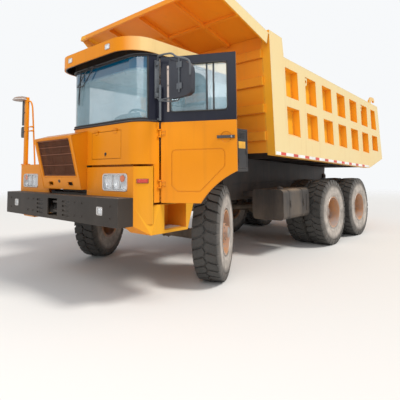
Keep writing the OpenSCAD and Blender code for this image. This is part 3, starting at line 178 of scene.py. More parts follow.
# A pale disc that fades out towards its rim
def makeFloor(look):
    bm = bmesh.new()
    bmesh.ops.create_circle(bm, cap_ends=True, segments=96, radius=look["floorRadius"])
    mesh = bpy.data.meshes.new("floor")
    bm.to_mesh(mesh)
    bm.free()
    floor = bpy.data.objects.new("floor", mesh)
    scene.collection.objects.link(floor)
    material = bpy.data.materials.new("floorFinish")
    tree = startTree(material)
    where = addNode(tree, "TexCoord").outputs["Object"]
    reach = addNode(tree, "VectorMath", {0: where}, operation="LENGTH").outputs["Value"]
    near, far = look["floorFade"]
    blend = addNode(tree, "MapRange", {"Value": reach, "From Min": near, "From Max": far}, interpolation_type="SMOOTHSTEP")
    matt = addNode(tree, "BsdfDiffuse", {"Color": look["floorColour"]})
    clear = addNode(tree, "BsdfTransparent")
    mix = addNode(tree, "MixShader", {0: blend.outputs["Result"], 1: matt.outputs[0], 2: clear.outputs[0]})
    addNode(tree, "OutputMaterial", {"Surface": mix.outputs[0]})
    mesh.materials.append(material)


makeStudio(studio)
makeFloor(studio)
print("camera, lamps and floor made")


# Materials. Every pattern reads Object coordinates, in metres.

finish = {}


def startMaterial(name):
    finish[name] = bpy.data.materials.new(name)
    return startTree(finish[name])


def endMaterial(tree, inputs, height=None, strength=0.0, distance=0.0, edge=0.0):
    if height is not None:
        bump = addNode(tree, "Bump", {"Strength": strength, "Distance": distance, "Height": height})
        if edge:
            setInputs(tree, bump, {"Normal": addRounded(tree, edge)})
        inputs["Normal"] = bump.outputs[0]
    shader = addNode(tree, "BsdfPrincipled", inputs)
    addNode(tree, "OutputMaterial", {"Surface": shader.outputs[0]})


# How much dust lies at a point: on top faces, low down, and in drifting patches
def addDust(tree, look):
    low = addRange(tree, addParts(tree, "Object")["Z"], look["dustTop"], look["dustFoot"], 0.0, look["dustLow"])
    top = addRange(tree, addParts(tree, "Normal")["Z"], 0.35, 1.0, 0.0, look["dustUp"])
    drift = addRange(tree, addNoise(tree, look["patch"], 6.0, (1, 1, 0.45), 0.65), 0.40, 0.72)
    amount = addMath(tree, "ADD", addMath(tree, "ADD", low, top), look["dustAll"])
    return addProduct(tree, amount, addMath(tree, "ADD", addProduct(tree, drift, 0.75), 0.35), clamp=True)


# 1 along the edges of a piece, 0 on its flats, broken up by noise
def addEdges(tree, width):
    flat = addNode(tree, "NewGeometry").outputs["Normal"]
    turn = addNode(tree, "VectorMath", {0: addRounded(tree, width), 1: flat}, operation="DOT_PRODUCT")
    broken = addRange(tree, addNoise(tree, 14.0, 6.0), 0.35, 0.6)
    return addProduct(tree, addRange(tree, turn.outputs["Value"], 0.99, 0.86), broken, clamp=True)


# 1 inside a rounded box's front corners, where the visor and the eaves are hollow; painted shade goes there
def addHollow(tree, place, hollow):
    radius = hollow["radius"]
    ahead = addMath(tree, "SUBTRACT", place["X"], hollow["front"] - radius)
    aside = addMath(tree, "ABSOLUTE", addMath(tree, "SUBTRACT", place["Y"], hollow["middle"]))
    aside = addMath(tree, "SUBTRACT", aside, hollow["half"] - radius)
    squares = [addProduct(tree, far, far) for far in (addMath(tree, "MAXIMUM", way) for way in (ahead, aside))]
    reach = addMath(tree, "SQRT", addMath(tree, "ADD", *squares))
    return addProduct(tree, addRange(tree, reach, radius - 0.012, radius - 0.016),
        addRange(tree, place["Z"], hollow["top"] + 0.004, hollow["top"]),
        addRange(tree, place["X"], hollow["rear"] + 0.012, hollow["rear"] + 0.016))


def addPaint(name, look):
    tree = startMaterial(name)
    place, facing = addParts(tree, "Object"), addParts(tree, "Normal")
    outward = addMath(tree, "ABSOLUTE", place["Y"])
    tone = addNoise(tree, look["tone"], 3.0)
    base = addMix(tree, addRange(tree, tone, 0.3, 0.7), look["dark"], look["light"])
    if "shade" in look:
        # painted shade: low down behind the outer skin, near the middle, the fender is painted near black where the
        # truck's shade falls
        half, height = look["shade"]
        shaded = addProduct(tree, addRange(tree, outward, half + 0.002, half - 0.002),
            addRange(tree, place["Z"], height + 0.004, height - 0.004))
        base = addMix(tree, shaded, base, look["shadePaint"])
    # painted sunlight: far out on the sides the colour is a lighter orange
    if "sunlit" in look:
        base = addMix(tree, addRange(tree, outward, *look["sunlitFrom"]), base, look["sunlit"])
    if "faded" in look:
        # painted sunlight: far out from the middle, faces that look outward or up are painted paler as if sunlit, less
        # on the right
        open_ = addMath(tree, "ADD", addMath(tree, "ABSOLUTE", facing["Y"]), facing["Z"])
        blend = addProduct(tree, addRange(tree, outward, *look["fadeFrom"]), addRange(tree, tone, 0.2, 0.6, 0.85, 1.0),
            addRange(tree, place["Y"], -0.1, 0.1, look.get("rightFade", 1.0)), addRange(tree, open_, 0.5, 0.9))
        base = addMix(tree, blend, base, look["faded"])
    # painted shade: inside the hollow under the visor and eaves the paint is near black
    if "hollow" in look:
        base = addMix(tree, addHollow(tree, place, look["hollow"]), base, look["hollow"]["paint"])
    streaks = addRange(tree, addNoise(tree, 9.0, 3.0, (1.2, 1.2, 0.06)), 0.56, 0.78, 0.0, look["streak"])
    chips = addRange(tree, addNoise(tree, 26.0, 8.0, (1, 1, 1), 0.75), 0.72, 0.75, 0.0, look["chip"])
    base = addMix(tree, chips, addMix(tree, streaks, base, look["grime"]), look["bare"])
    if "wear" in look:
        base = addMix(tree, addProduct(tree, addEdges(tree, look["wearWidth"]), look["wear"]), base, look["wornColour"])
    dust = addDust(tree, look)
    endMaterial(tree, {
        "Base Color": addMix(tree, dust, base, look["dust"]), "Roughness": addRange(tree, dust, 0.0, 1.0, look["gloss"], 0.9),
        "Specular IOR Level": look.get("specular", 0.2), "Coat Weight": look.get("coat", 0.0), "Coat Roughness": 0.15,
    }, addNoise(tree, 60.0), look.get("bump", 0.12), 0.002, 0.008)


# One row per paint: its colours, then tone, streak and chip, then where dust lies and the gloss
paintColumns = ("dark", "light", "grime", "bare", "dust", "tone", "streak", "chip", "dustTop", "dustFoot", "dustLow", "dustUp",
    "dustAll", "patch", "gloss")
paintRows = {
    "orange_paint": ((0.72, 0.235, 0.006), (0.84, 0.295, 0.009), (0.42, 0.15, 0.02), (0.25, 0.14, 0.08), (0.62, 0.38, 0.18),
        0.8, 0.18, 0.35, 1.7, 0.7, 0.16, 0.20, 0.0, 1.6, 0.34),
    "body_paint": ((0.84, 0.270, 0.010), (0.95, 0.355, 0.018), (0.50, 0.22, 0.06), (0.28, 0.17, 0.10), (0.72, 0.47, 0.24),
        0.7, 0.14, 0.55, 2.6, 1.4, 0.16, 0.40, 0.02, 1.1, 0.42),
    "rim_paint": ((0.62, 0.24, 0.03), (0.80, 0.33, 0.05), (0.30, 0.16, 0.08), (0.20, 0.13, 0.09), (0.46, 0.37, 0.33),
        2.5, 0.2, 0.7, 1.6, 0.2, 0.50, 0.15, 0.80, 4.0, 0.55),
    "chassis_paint": ((0.022, 0.024, 0.028), (0.045, 0.047, 0.052), (0.10, 0.08, 0.06), (0.16, 0.11, 0.07), (0.40, 0.31, 0.22),
        2.0, 0.4, 0.5, 1.7, 0.3, 0.40, 0.50, 0.05, 2.2, 0.45),
    "bumper_paint": ((0.027, 0.023, 0.020), (0.043, 0.036, 0.031), (0.085, 0.068, 0.055), (0.18, 0.13, 0.09),
        (0.36, 0.28, 0.21), 1.8, 0.3, 0.45, 1.3, 0.7, 0.10, 0.40, 0.0, 2.4, 0.50),
    "grille_paint": ((0.13, 0.038, 0.016), (0.20, 0.062, 0.026), (0.06, 0.035, 0.025), (0.10, 0.06, 0.04), (0.40, 0.27, 0.17),
        6.0, 0.2, 0.2, 2.4, 1.2, 0.12, 0.45, 0.03, 5.0, 0.5),
    "cab_dark_paint": ((0.009, 0.011, 0.021), (0.016, 0.018, 0.031), (0.05, 0.048, 0.05), (0.08, 0.07, 0.06),
        (0.36, 0.30, 0.25), 1.5, 0.15, 0.1, 3.2, 1.5, 0.03, 0.25, 0.0, 1.8, 0.30),
    "grab_paint": ((0.085, 0.095, 0.11), (0.13, 0.145, 0.16), (0.07, 0.065, 0.06), (0.22, 0.18, 0.14), (0.42, 0.35, 0.28),
        5.0, 0.2, 0.4, 3.0, 1.5, 0.05, 0.2, 0.02, 3.0, 0.4),
    "engine_paint": ((0.09, 0.095, 0.10), (0.15, 0.155, 0.16), (0.03, 0.028, 0.025), (0.18, 0.12, 0.08), (0.42, 0.34, 0.25),
        5.0, 0.6, 0.4, 1.6, 0.6, 0.45, 0.50, 0.10, 3.5, 0.6),
    "axle_paint": ((0.030, 0.029, 0.028), (0.065, 0.060, 0.054), (0.02, 0.016, 0.012), (0.20, 0.13, 0.08), (0.45, 0.35, 0.25),
        4.0, 0.5, 0.6, 1.3, 0.2, 0.50, 0.40, 0.15, 3.0, 0.6),
}
paintExtras = {
    "orange_paint": {"coat": 0.05, "specular": 0.13, "wear": 0.35, "wearWidth": 0.012, "wornColour": (0.36, 0.15, 0.05)},
    # painted sunlight: the body's sides far out are painted paler and lighter orange
    "body_paint": {"faded": (0.85, 0.69, 0.36), "fadeFrom": (1.56, 1.66), "sunlit": (0.95, 0.43, 0.022),
        "sunlitFrom": (1.50, 1.54), "rightFade": 0.4, "wear": 0.55, "wearWidth": 0.020, "wornColour": (0.42, 0.16, 0.07)},
    "bumper_paint": {"wear": 0.4, "wearWidth": 0.015, "wornColour": (0.13, 0.11, 0.095)},
    "cab_dark_paint": {"coat": 0.05, "specular": 0.14},
    "axle_paint": {"bump": 0.3},
}
paints = {name: {**dict(zip(paintColumns, row)), **paintExtras.get(name, {})} for name, row in paintRows.items()}
# painted shade: low down near the middle the fender is painted near black
paints["fender_paint"] = {**paints["orange_paint"], "shade": (1.233, 1.215), "shadePaint": (0.032, 0.030, 0.028),
    # painted sunlight: the fender's outer faces are painted paler
    "faded": (0.76, 0.345, 0.010), "fadeFrom": (1.42, 1.50)}
# painted sunlight on the roof's outer faces; painted shade, near black, in the hollow under the visor and eaves
paints["roof_paint"] = {**paints["orange_paint"], "faded": (0.82, 0.60, 0.27), "fadeFrom": (1.30, 1.60), "hollow": {
    "front": 1.755, "rear": -0.280, "middle": 0.778, "half": 0.834, "radius": 0.350, "top": 3.125,
    "paint": (0.030, 0.022, 0.018)}}


# Black rubber on the lugs, and tan dust where the piece's dusty attribute says
def addTyreRubber(name):
    tree = startMaterial(name)
    dusty = addNode(tree, "Attribute", attribute_name="dusty").outputs["Fac"]
    patches = addNoise(tree, 5.0, 6.0, (1, 1, 1), 0.65)
    speckle = addNoise(tree, 60.0)
    amount = addProduct(tree, dusty, addRange(tree, patches, 0.25, 0.62, 0.35, 1.1), clamp=True)
    fine = addProduct(tree, amount, addRange(tree, speckle, 0.2, 0.6, 0.75, 1.0), clamp=True)
    rubber = addMix(tree, addRange(tree, speckle, 0.3, 0.7), (0.022, 0.022, 0.021), (0.043, 0.042, 0.040))
    endMaterial(tree, {"Base Color": addMix(tree, fine, rubber, (0.62, 0.56, 0.50)),
        "Roughness": addRange(tree, fine, 0.0, 1.0, 0.62, 0.95), "Specular IOR Level": 0.35},
        addNoise(tree, 130.0, 5.0), 0.35, 0.003)


# Tinted glass with smears and dust; a band, if given, shades the top of the pane
def addGlass(name, tint, specular, coatIor, band=None):
    tree = startMaterial(name)
    alpha = addRange(tree, addNoise(tree, 1.7, 6.0), 0.35, 0.75, 0.30, 0.52)
    if band is not None:
        shade = addRange(tree, addParts(tree, "Object")["Z"], *band["from"])
        tint = addMix(tree, shade, tint, band["tint"])
        alpha = addMath(tree, "ADD", alpha, addProduct(tree, shade, 0.5), True)
    smears = addNoise(tree, 2.5, 5.0, (1, 1, 0.5))
    endMaterial(tree, {"Base Color": tint, "Roughness": addRange(tree, smears, 0.45, 0.8, 0.03, 0.22), "Alpha": alpha,
        "Specular IOR Level": specular, "Coat Weight": 1.0, "Coat Roughness": 0.02, "Coat IOR": coatIor})


def addLens(name, tint, alpha):
    tree = startMaterial(name)
    where = addNode(tree, "TexCoord").outputs["Object"]
    flutes = addNode(tree, "TexWave", {"Vector": where, "Scale": 28.0}, bands_direction="Y").outputs["Fac"]
    endMaterial(tree, {"Base Color": tint, "Roughness": 0.08, "Alpha": alpha, "Coat Weight": 1.0}, flutes, 0.35, 0.003)


plasticDust = {"dustTop": 1.6, "dustFoot": 0.6, "dustLow": 0.2, "dustUp": 0.30, "dustAll": 0.02, "patch": 3.0}


def addPlastic(name, colour, roughness, bump=0.25, grain=180.0):
    tree = startMaterial(name)
    lighter = tuple(min(1.0, c * 1.5 + 0.01) for c in colour)
    base = addMix(tree, addRange(tree, addNoise(tree, 3.0), 0.35, 0.7), colour, lighter)
    endMaterial(tree, {"Base Color": addMix(tree, addDust(tree, plasticDust), base, (0.42, 0.35, 0.28)),
        "Roughness": roughness}, addNoise(tree, grain, 3.0), bump, 0.0015, 0.004)


def addMetal(name, colour, roughness):
    tree = startMaterial(name)
    brushed = addNoise(tree, 40.0, 4.0, (1, 1, 0.05))
    darker = tuple(c * 0.55 for c in colour)
    endMaterial(tree, {"Base Color": addMix(tree, addRange(tree, addNoise(tree, 3.0), 0.45, 0.8), colour, darker),
        "Roughness": addRange(tree, brushed, 0.3, 0.7, roughness * 0.7, roughness * 1.4), "Metallic": 1.0})


def addFabric(name, colour):
    tree = startMaterial(name)
    where = addNode(tree, "TexCoord").outputs["Object"]
    weave = addNode(tree, "TexChecker", {"Vector": where, "Scale": 400.0}).outputs["Fac"]
    tone = addRange(tree, addNoise(tree, 6.0, 5.0), 0.35, 0.7)
    endMaterial(tree, {"Base Color": addMix(tree, tone, colour, tuple(c * 1.8 for c in colour)), "Roughness": 0.9,
        "Sheen Weight": 0.4}, weave, 0.3, 0.001)


for name, look in paints.items():
    addPaint(name, look)
addTyreRubber("tyre")
addFabric("seat_fabric", (0.05, 0.05, 0.06))
addGlass("glass", (0.36, 0.57, 0.66), 1.0, 1.8)
addGlass("screen_glass", (0.36, 0.57, 0.66), 0.5, 1.5, {"from": (2.770, 2.815), "tint": (0.003, 0.095, 0.190)})
for name, tint, alpha in (("lamp_lens", (0.85, 0.87, 0.88), 0.34), ("amber", (0.70, 0.13, 0.006), 0.94),
        ("redLens", (0.62, 0.03, 0.01), 0.92)):
    addLens(name, tint, alpha)
for name, colour, roughness in (("hoist_steel", (0.62, 0.62, 0.64), 0.18), ("reflector", (0.92, 0.93, 0.95), 0.06),
        ("mirrorFace", (0.80, 0.84, 0.88), 0.02), ("boltSteel", (0.46, 0.43, 0.40), 0.42)):
    addMetal(name, colour, roughness)
for row in (
    ("dark_plastic", (0.022, 0.023, 0.026), 0.5), ("rubberSeal", (0.014, 0.014, 0.015), 0.75),
    ("grilleDark", (0.050, 0.018, 0.012), 0.8), ("mirrorShell", (0.014, 0.017, 0.026), 0.45),
    ("warmTrim", (0.42, 0.34, 0.29), 0.45), ("markerShell", (0.10, 0.022, 0.012), 0.5), ("domeBack", (0.20, 0.14, 0.11), 0.4),
    ("paleBezel", (0.52, 0.50, 0.48), 0.45), ("cabTrim", (0.17, 0.175, 0.18), 0.75), ("headliner", (0.34, 0.34, 0.33), 0.85),
    ("floorMat", (0.022, 0.022, 0.023), 0.85, 0.6, 90.0), ("whiteTape", (0.74, 0.72, 0.69), 0.35, 0.1),
    ("redTape", (0.55, 0.045, 0.025), 0.35, 0.1), ("amberPlate", (0.72, 0.36, 0.03), 0.5, 0.1),
):
    addPlastic(*row)

ownFinish = {"fender_left": "fender_paint", "fender_right": "fender_paint", "cab_roof": "roof_paint",
    "windscreen": "screen_glass"}
slotOf = {row["node"]: row["material_slot"] for row in frame["record"]["subparts"]}
for name, obj in frame["nodes"].items():
    obj.data.materials.clear()
    obj.data.materials.append(finish[ownFinish.get(name, slotOf[name])])
print("materials made")


# Helpers for the pieces. Every piece is built in metres and ends up in place, with its object at the origin.

sides = (("left", 1), ("right", -1))


def mirror(side):
    return Matrix.Scale(side, 4, (0, 1, 0))


# Pairs of coordinates evenly round a circle
def around(count, radius, turn=0.0):
    angles = [math.tau * (i + turn) / count for i in range(count)]
    return [(radius * math.cos(a), radius * math.sin(a)) for a in angles]


# Corners of a rectangle in the YZ plane at x, or in the XZ plane at y
def facingX(x, y0, y1, z0, z1):
    return [(x, y0, z0), (x, y1, z0), (x, y1, z1), (x, y0, z1)]


def facingY(y, x0, x1, z0, z1):
    return [(x0, y, z0), (x1, y, z0), (x1, y, z1), (x0, y, z1)]


# A line of points with its corners rounded
def softPath(points, corner, closed=False, steps=5):
    points = [Vector(p) for p in points]
    path = []
    for i, p in enumerate(points):
        if not closed and i in (0, len(points) - 1):
            path.append(p)
            continue
        before, after = points[i - 1], points[(i + 1) % len(points)]
        start = p + (before - p).normalized() * min(corner, (p - before).length * 0.48)
        end = p + (after - p).normalized() * min(corner, (after - p).length * 0.48)
        for k in range(steps + 1):
            t = k / steps
            path.append(start * (1 - t) ** 2 + p * 2 * t * (1 - t) + end * t * t)
    return path


def roundRect(x, y, z, width, height, corner):
    half, tall = width / 2, height / 2
    return softPath(facingX(x, y - half, y + half, z - tall, z + tall), corner, closed=True)


def addTube(bm, points, radius, corner=0.04, closed=False, sides=2, matrix=Matrix()):
    data = bpy.data.curves.new("line", "CURVE")
    data.dimensions = "3D"
    data.bevel_depth = radius
    data.bevel_resolution = sides
    data.use_fill_caps = not closed
    path = softPath(points, corner, closed)
    spline = data.splines.new("POLY")
    spline.points.add(len(path) - 1)
    for point, place in zip(spline.points, path):
        point.co = (*place, 1)
    spline.use_cyclic_u = closed
    line = bpy.data.objects.new("line", data)
    mesh = bpy.data.meshes.new_from_object(line)
    mesh.transform(matrix)
    bm.from_mesh(mesh)
    bpy.data.objects.remove(line)
    bpy.data.curves.remove(data)
    bpy.data.meshes.remove(mesh)


def vertsOf(made):
    return [g for g in made["geom"] if isinstance(g, bmesh.types.BMVert)]


def addFace(bm, points):
    return bm.faces.new([bm.verts.new(p) for p in points])


# A flat outline pushed through by a vector; gives back its near and its far verts
def addSlab(bm, points, through, matrix=Matrix()):
    face = addFace(bm, points)
    near = list(face.verts)
    far = vertsOf(bmesh.ops.extrude_face_region(bm, geom=[face]))
    bmesh.ops.translate(bm, vec=through, verts=far)
    bmesh.ops.transform(bm, matrix=matrix, verts=near + far)
    return near, far


# A box from x0, x1, y0, y1, z0, z1
def addBox(bm, box, bevel=0.0, segments=2, matrix=Matrix()):
    low, high = Vector(box[::2]), Vector(box[1::2])
    verts = bmesh.ops.create_cube(bm, size=1.0)["verts"]
    bmesh.ops.scale(bm, vec=high - low, verts=verts)
    bmesh.ops.translate(bm, vec=(high + low) / 2, verts=verts)
    if bevel:
        edges = list({e for v in verts for e in v.link_edges})
        done = bmesh.ops.bevel(bm, geom=edges, offset=bevel, offset_type="OFFSET", segments=segments,
            profile=0.5, affect="EDGES", material=-1, clamp_overlap=True)
        verts = list({v for f in done["faces"] for v in f.verts} | {v for v in verts if v.is_valid})
    bmesh.ops.transform(bm, matrix=matrix, verts=verts)


# A box between limits counted from a place
def addBoxAt(bm, place, box, bevel=0.0, segments=2, matrix=Matrix()):
    x, y, z = place
    x0, x1, y0, y1, z0, z1 = box
    addBox(bm, (x + x0, x + x1, y + y0, y + y1, z + z0, z + z1), bevel, segments, matrix)


def addRod(bm, start, end, radius, segments=16, endRadius=None, matrix=Matrix()):
    start, end = Vector(start), Vector(end)
    along = end - start
    place = Matrix.Translation((start + end) / 2) @ along.to_track_quat("Z", "Y").to_matrix().to_4x4()
    bmesh.ops.create_cone(bm, cap_ends=True, segments=segments, radius1=radius,
        radius2=radius if endRadius is None else endRadius, depth=along.length, matrix=matrix @ place)


# A hexagon head on a washer
def addBolt(bm, place, out, radius, height, matrix=Matrix()):
    place, out = Vector(place), Vector(out).normalized()
    addRod(bm, place - out * 0.002, place + out * height * 0.22, radius * 1.45, 18, matrix=matrix)
    addRod(bm, place + out * height * 0.2, place + out * height, radius, 6, radius * 0.94, matrix)


# A profile of (radius, distance along the axis) points, spun once round
def spinRing(bm, profile, axis=(0, 1, 0), steps=64, matrix=Matrix(), closed=True):
    axis = Vector(axis)
    before = set(bm.verts)
    side = Vector((0, 0, 1)) if abs(axis.z) < 0.9 else Vector((1, 0, 0))
    verts = [bm.verts.new(side * r + axis * d) for r, d in profile]
    edges = [bm.edges.new(pair) for pair in zip(verts, verts[1:] + verts[:closed])]
    bmesh.ops.spin(bm, geom=verts + edges, cent=(0, 0, 0), axis=axis, angle=math.tau, steps=steps, use_merge=True)
    bmesh.ops.transform(bm, matrix=matrix, verts=[v for v in bm.verts if v not in before])


# The piece takes the material named by look
def finishPiece(name, bm, look, body="root", replaces=(), bevel=0.0, smooth=True, place=Matrix()):
    bmesh.ops.transform(bm, matrix=place, verts=bm.verts)
    bmesh.ops.remove_doubles(bm, verts=bm.verts, dist=0.00002)
    bmesh.ops.recalc_face_normals(bm, faces=bm.faces)
    mesh = bpy.data.meshes.new(name)
    bm.to_mesh(mesh)
    bm.free()
    mesh.materials.append(finish[look])
    piece = bpy.data.objects.new(name, mesh)
    scene.collection.objects.link(piece)
    if bevel:
        soften = piece.modifiers.new("soften", "BEVEL")
        soften.width = bevel
        soften.segments = 2
        soften.limit_method = "ANGLE"
        soften.angle_limit = math.radians(40)
    if smooth:
        for face in mesh.polygons:
            face.use_smooth = True
        mesh.set_sharp_from_angle(angle=math.radians(38))
    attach(piece, body)
    if replaces:
        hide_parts(*replaces)


# Tyres: two rows of leaning lugs with a zigzag groove between them

tyre = {
    "radius": 0.685, "width": 0.375, "lugHeight": 0.024, "lugs": 30, "lugLength": 0.116, "lean": 0.050, "zigzag": 0.030,
    "groove": 0.010, "root": 0.008, "taper": (0.07, 0.035), "crown": 0.0022,
    # the wall from bead to tread, as radius and inset from the tyre's side
    "wall": ((0.3185, 0.040), (0.3345, 0.016), (0.3635, 0.010), (0.3885, 0.004), (0.3965, 0.0), (0.4045, 0.004), (0.43, 0.001),
        (0.49, 0.0), (0.545, 0.002), (0.552, -0.001), (0.562, -0.001), (0.570, 0.005), (0.605, 0.012), (0.639, 0.024),
        (0.655, 0.045), (0.661, 0.070), (0.661, 0.1375)),
    # the shoulder end runs down over the side wall
    "shoulder": 0.035, "shoulderInset": 0.018, "footDrop": 0.074, "footOut": 0.021, "topDrop": 0.006,
    "dust": 0.05, "treadDust": 0.16, "wallDust": 0.22, "beadDust": 0.62, "wallDustFrom": (0.665, 0.615),
    "beadDustFrom": (0.555, 0.500), "wallEdge": 0.06,
}

# Each row of wheels: where it turns, its tyres outward of that, and its nuts, hub cap and valve
wheelRows = {
    "front": {
        "x": 0.0, "kingpin": 1.216, "steer": 26.5, "offset": 0.131, "tyres": (0.0,), "face": 0.086, "ring": 0.1675,
        "rim": 0.0, "capFace": 0.159, "cap": 0.208, "capRadius": 0.085, "capRing": 0.108,
        "valve": ((0.288, 0.07, 0), (0.285, 0.12, 0), (0.270, 0.15, 0)),
    },
    "mid": {
        "x": -3.675, "kingpin": 0.0, "steer": 0.0, "offset": 0.0, "tyres": (1.510, 1.080), "face": 1.311, "ring": 0.186,
        "rim": 1.510, "capFace": 1.509, "cap": 1.553, "capRadius": 0.110, "capRing": 0.138,
        "valve": ((0.280, 1.31, 0), (0.282, 1.45, 0), (0.270, 1.52, 0)),
    },
}
wheelRows["rear"] = {**wheelRows["mid"], "x": -5.265}


def share(value, start, end):
    return min(1.0, max(0.0, (value - start) / (end - start)))


# One tyre about the Y axis, its middle at y; its dusty attribute says where dust clings
def addTyre(bm, middleY, look):
    dusty = bm.verts.layers.float.get("dusty") or bm.verts.layers.float.new("dusty")
    before = set(bm.verts)
    tread, half = look["radius"] - look["lugHeight"], look["width"] / 2
    wall = [(r, half - inset) for r, inset in look["wall"]]
    spinRing(bm, wall + [(r, -y) for r, y in reversed(wall)], steps=96)
    length, lean, zig, gap, root = (look[k] for k in ("lugLength", "lean", "zigzag", "groove", "root"))
    outer = half - look["shoulderInset"]
    shape = [(-length / 2, outer), (length / 2, outer), (length / 2 - lean, zig * 0.5 + gap), (-lean, gap - zig * 0.5),
        (-length / 2 - lean, zig * 0.5 + gap)]
    for row, ahead in ((-1, 0.0), (1, 0.5)):
        for i in range(look["lugs"]):
            turn = math.tau / look["lugs"] * (i + ahead)
            low, top = addSlab(bm, [(s, row * y, tread - root) for s, y in shape], (0, 0, look["lugHeight"] + root))
            middle = sum((v.co for v in top), Vector()) / len(top)
            for v in top:
                v.co.x += (middle.x - v.co.x) * look["taper"][0]
                v.co.y += (middle.y - v.co.y) * look["taper"][1]
            for verts, drop, out, crown in ((low, look["footDrop"], look["footOut"], 0),
                    (top, look["topDrop"], 0, look["crown"])):
                for v in verts:
                    x, y, r = v.co
                    if abs(y) > half - look["shoulder"]:
                        r -= drop
                        y += row * out
                    r -= crown * (1 - abs(x) / length)
                    angle = x / look["radius"] + turn
                    v.co = (math.sin(angle) * r, y, math.cos(angle) * r)
    fresh = [v for v in bm.verts if v not in before]
    for v in fresh:
        r = math.hypot(v.co.x, v.co.z)
        out = share(r, *look["wallDustFrom"])
        if abs(v.co.y) > half - look["wallEdge"]:
            v[dusty] = look["dust"] + look["wallDust"] * out + look["beadDust"] * share(r, *look["beadDustFrom"])
        else:
            v[dusty] = look["dust"] + look["treadDust"] * out
    bmesh.ops.translate(bm, vec=(0, middleY, 0), verts=fresh)


# A wheel's matrix, with +Y outward
def wheelPlace(row, side):
    king = Matrix.Translation((row["x"], side * row["kingpin"], 0)) @ Matrix.Rotation(math.radians(row["steer"]), 4, "Z")
    return king @ mirror(side) @ Matrix.Translation((0, row["offset"], tyre["radius"]))


for name, side in sides:
    for rowName, row in wheelRows.items():
        many = "s" if len(row["tyres"]) > 1 else ""
        bm = bmesh.new()
        for y in row["tyres"]:
            addTyre(bm, y, tyre)
        finishPiece(f"{rowName}Tyre{many}{name.title()}", bm, "tyre", body=f"wheel{many}_{rowName}_{name}",
            replaces=[f"{rowName}_tyre{many}_{name}"], place=wheelPlace(row, side))
print("tyres made")


# Wheel nuts, studs, hub caps, lock rings and valves

wheelTrim = {
    "count": 10, "nut": 0.0165, "nutHeight": 0.024, "studLength": 0.048, "flange": 0.3435, "rimHalf": 0.1755, "valve": 0.006,
    # how the cap's dome and the split lock ring run, as share of the cap's radius or out from the flange, and outward
    "dome": ((0.35, 0.020), (0.7, 0.012), (0.93, 0.0)), "domeTop": 0.022, "domeFoot": -0.004, "capBolts": 8,
    "lockRing": ((-0.020, -0.002), (-0.003, -0.002), (0.001, 0.004), (-0.006, 0.010), (-0.018, 0.006)),
}


def addWheelTrim(bm, row, look):
    out = (0, 1, 0)
    for z, x in around(look["count"], row["ring"], 0.5):
        foot = Vector((x, row["face"], z))
        addBolt(bm, foot, out, look["nut"], look["nutHeight"])
        addRod(bm, foot, foot + Vector((0, look["studLength"], 0)), look["nut"] * 0.52, 10)
    for z, x in around(look["capBolts"], row["capRing"]):
        addBolt(bm, (x, row["capFace"], z), out, 0.009, 0.012)
    dome = [(row["capRadius"] * part, row["cap"] + high) for part, high in look["dome"]]
    spinRing(bm, [(0.0001, row["cap"] + look["domeTop"])] + dome + [(0.0001, row["cap"] + look["domeFoot"])], steps=40)
    outer = row["rim"] + look["rimHalf"]
    spinRing(bm, [(look["flange"] + r, outer + y) for r, y in look["lockRing"]], steps=72)
    addTube(bm, row["valve"], look["valve"])


for name, side in sides:
    for rowName, row in wheelRows.items():
        many = "s" if len(row["tyres"]) > 1 else ""
        bm = bmesh.new()
        addWheelTrim(bm, row, wheelTrim)
        finishPiece(f"{rowName}Nuts{name.title()}", bm, "boltSteel", f"wheel{many}_{rowName}_{name}",
            place=wheelPlace(row, side))
print("wheel trim made")


# Headlamps: a tray with round bowls, an orange indicator and a fluted lens in a pale bezel

headlamp = {
    "middle": (1.573, 1.100, 1.452), "size": (0.478, 0.203), "depth": 0.056, "corner": 0.040, "wall": 0.006, "lip": 0.010,
    "bowls": [(-0.125, 0.0, 0.080), (0.040, 0.0, 0.074), (0.163, -0.046, 0.040)], "indicator": (0.150, 0.046, 0.042),
    "bowlDepth": 0.040, "ribs": 6, "ribPitch": 0.030, "flutes": 14, "flutePitch": 0.0323, "mullions": (0.100, -0.043),
}


# A lamp's outline, moved out and made smaller
def lampOutline(middle, size, out, less, corner):
    return roundRect(middle[0] + out, middle[1], middle[2], size[0] - less, size[1] - less, corner)


# Walls drawn back from a face's edges, and the face itself taken out
def addWalls(bm, face, back):
    walls = bmesh.ops.extrude_edge_only(bm, edges=list(face.edges))
    bmesh.ops.translate(bm, vec=(back, 0, 0), verts=vertsOf(walls))
    bmesh.ops.delete(bm, geom=[face], context="FACES_ONLY")


def addBowl(bm, place, radius, depth):
    profile = [(radius * t, -depth * (1 - t * t)) for t in (0.06, 0.3, 0.5, 0.7, 0.85, 1.0)]
    profile += [(radius * 1.05, 0.001), (radius * 1.05, -0.004)]
    there = Matrix.Translation(place)
    spinRing(bm, profile, (1, 0, 0), 32, there, closed=False)
    bulb = there @ Matrix.Translation((-depth / 2, 0, 0))
    bmesh.ops.create_uvsphere(bm, u_segments=14, v_segments=8, radius=radius * 0.20, matrix=bulb)


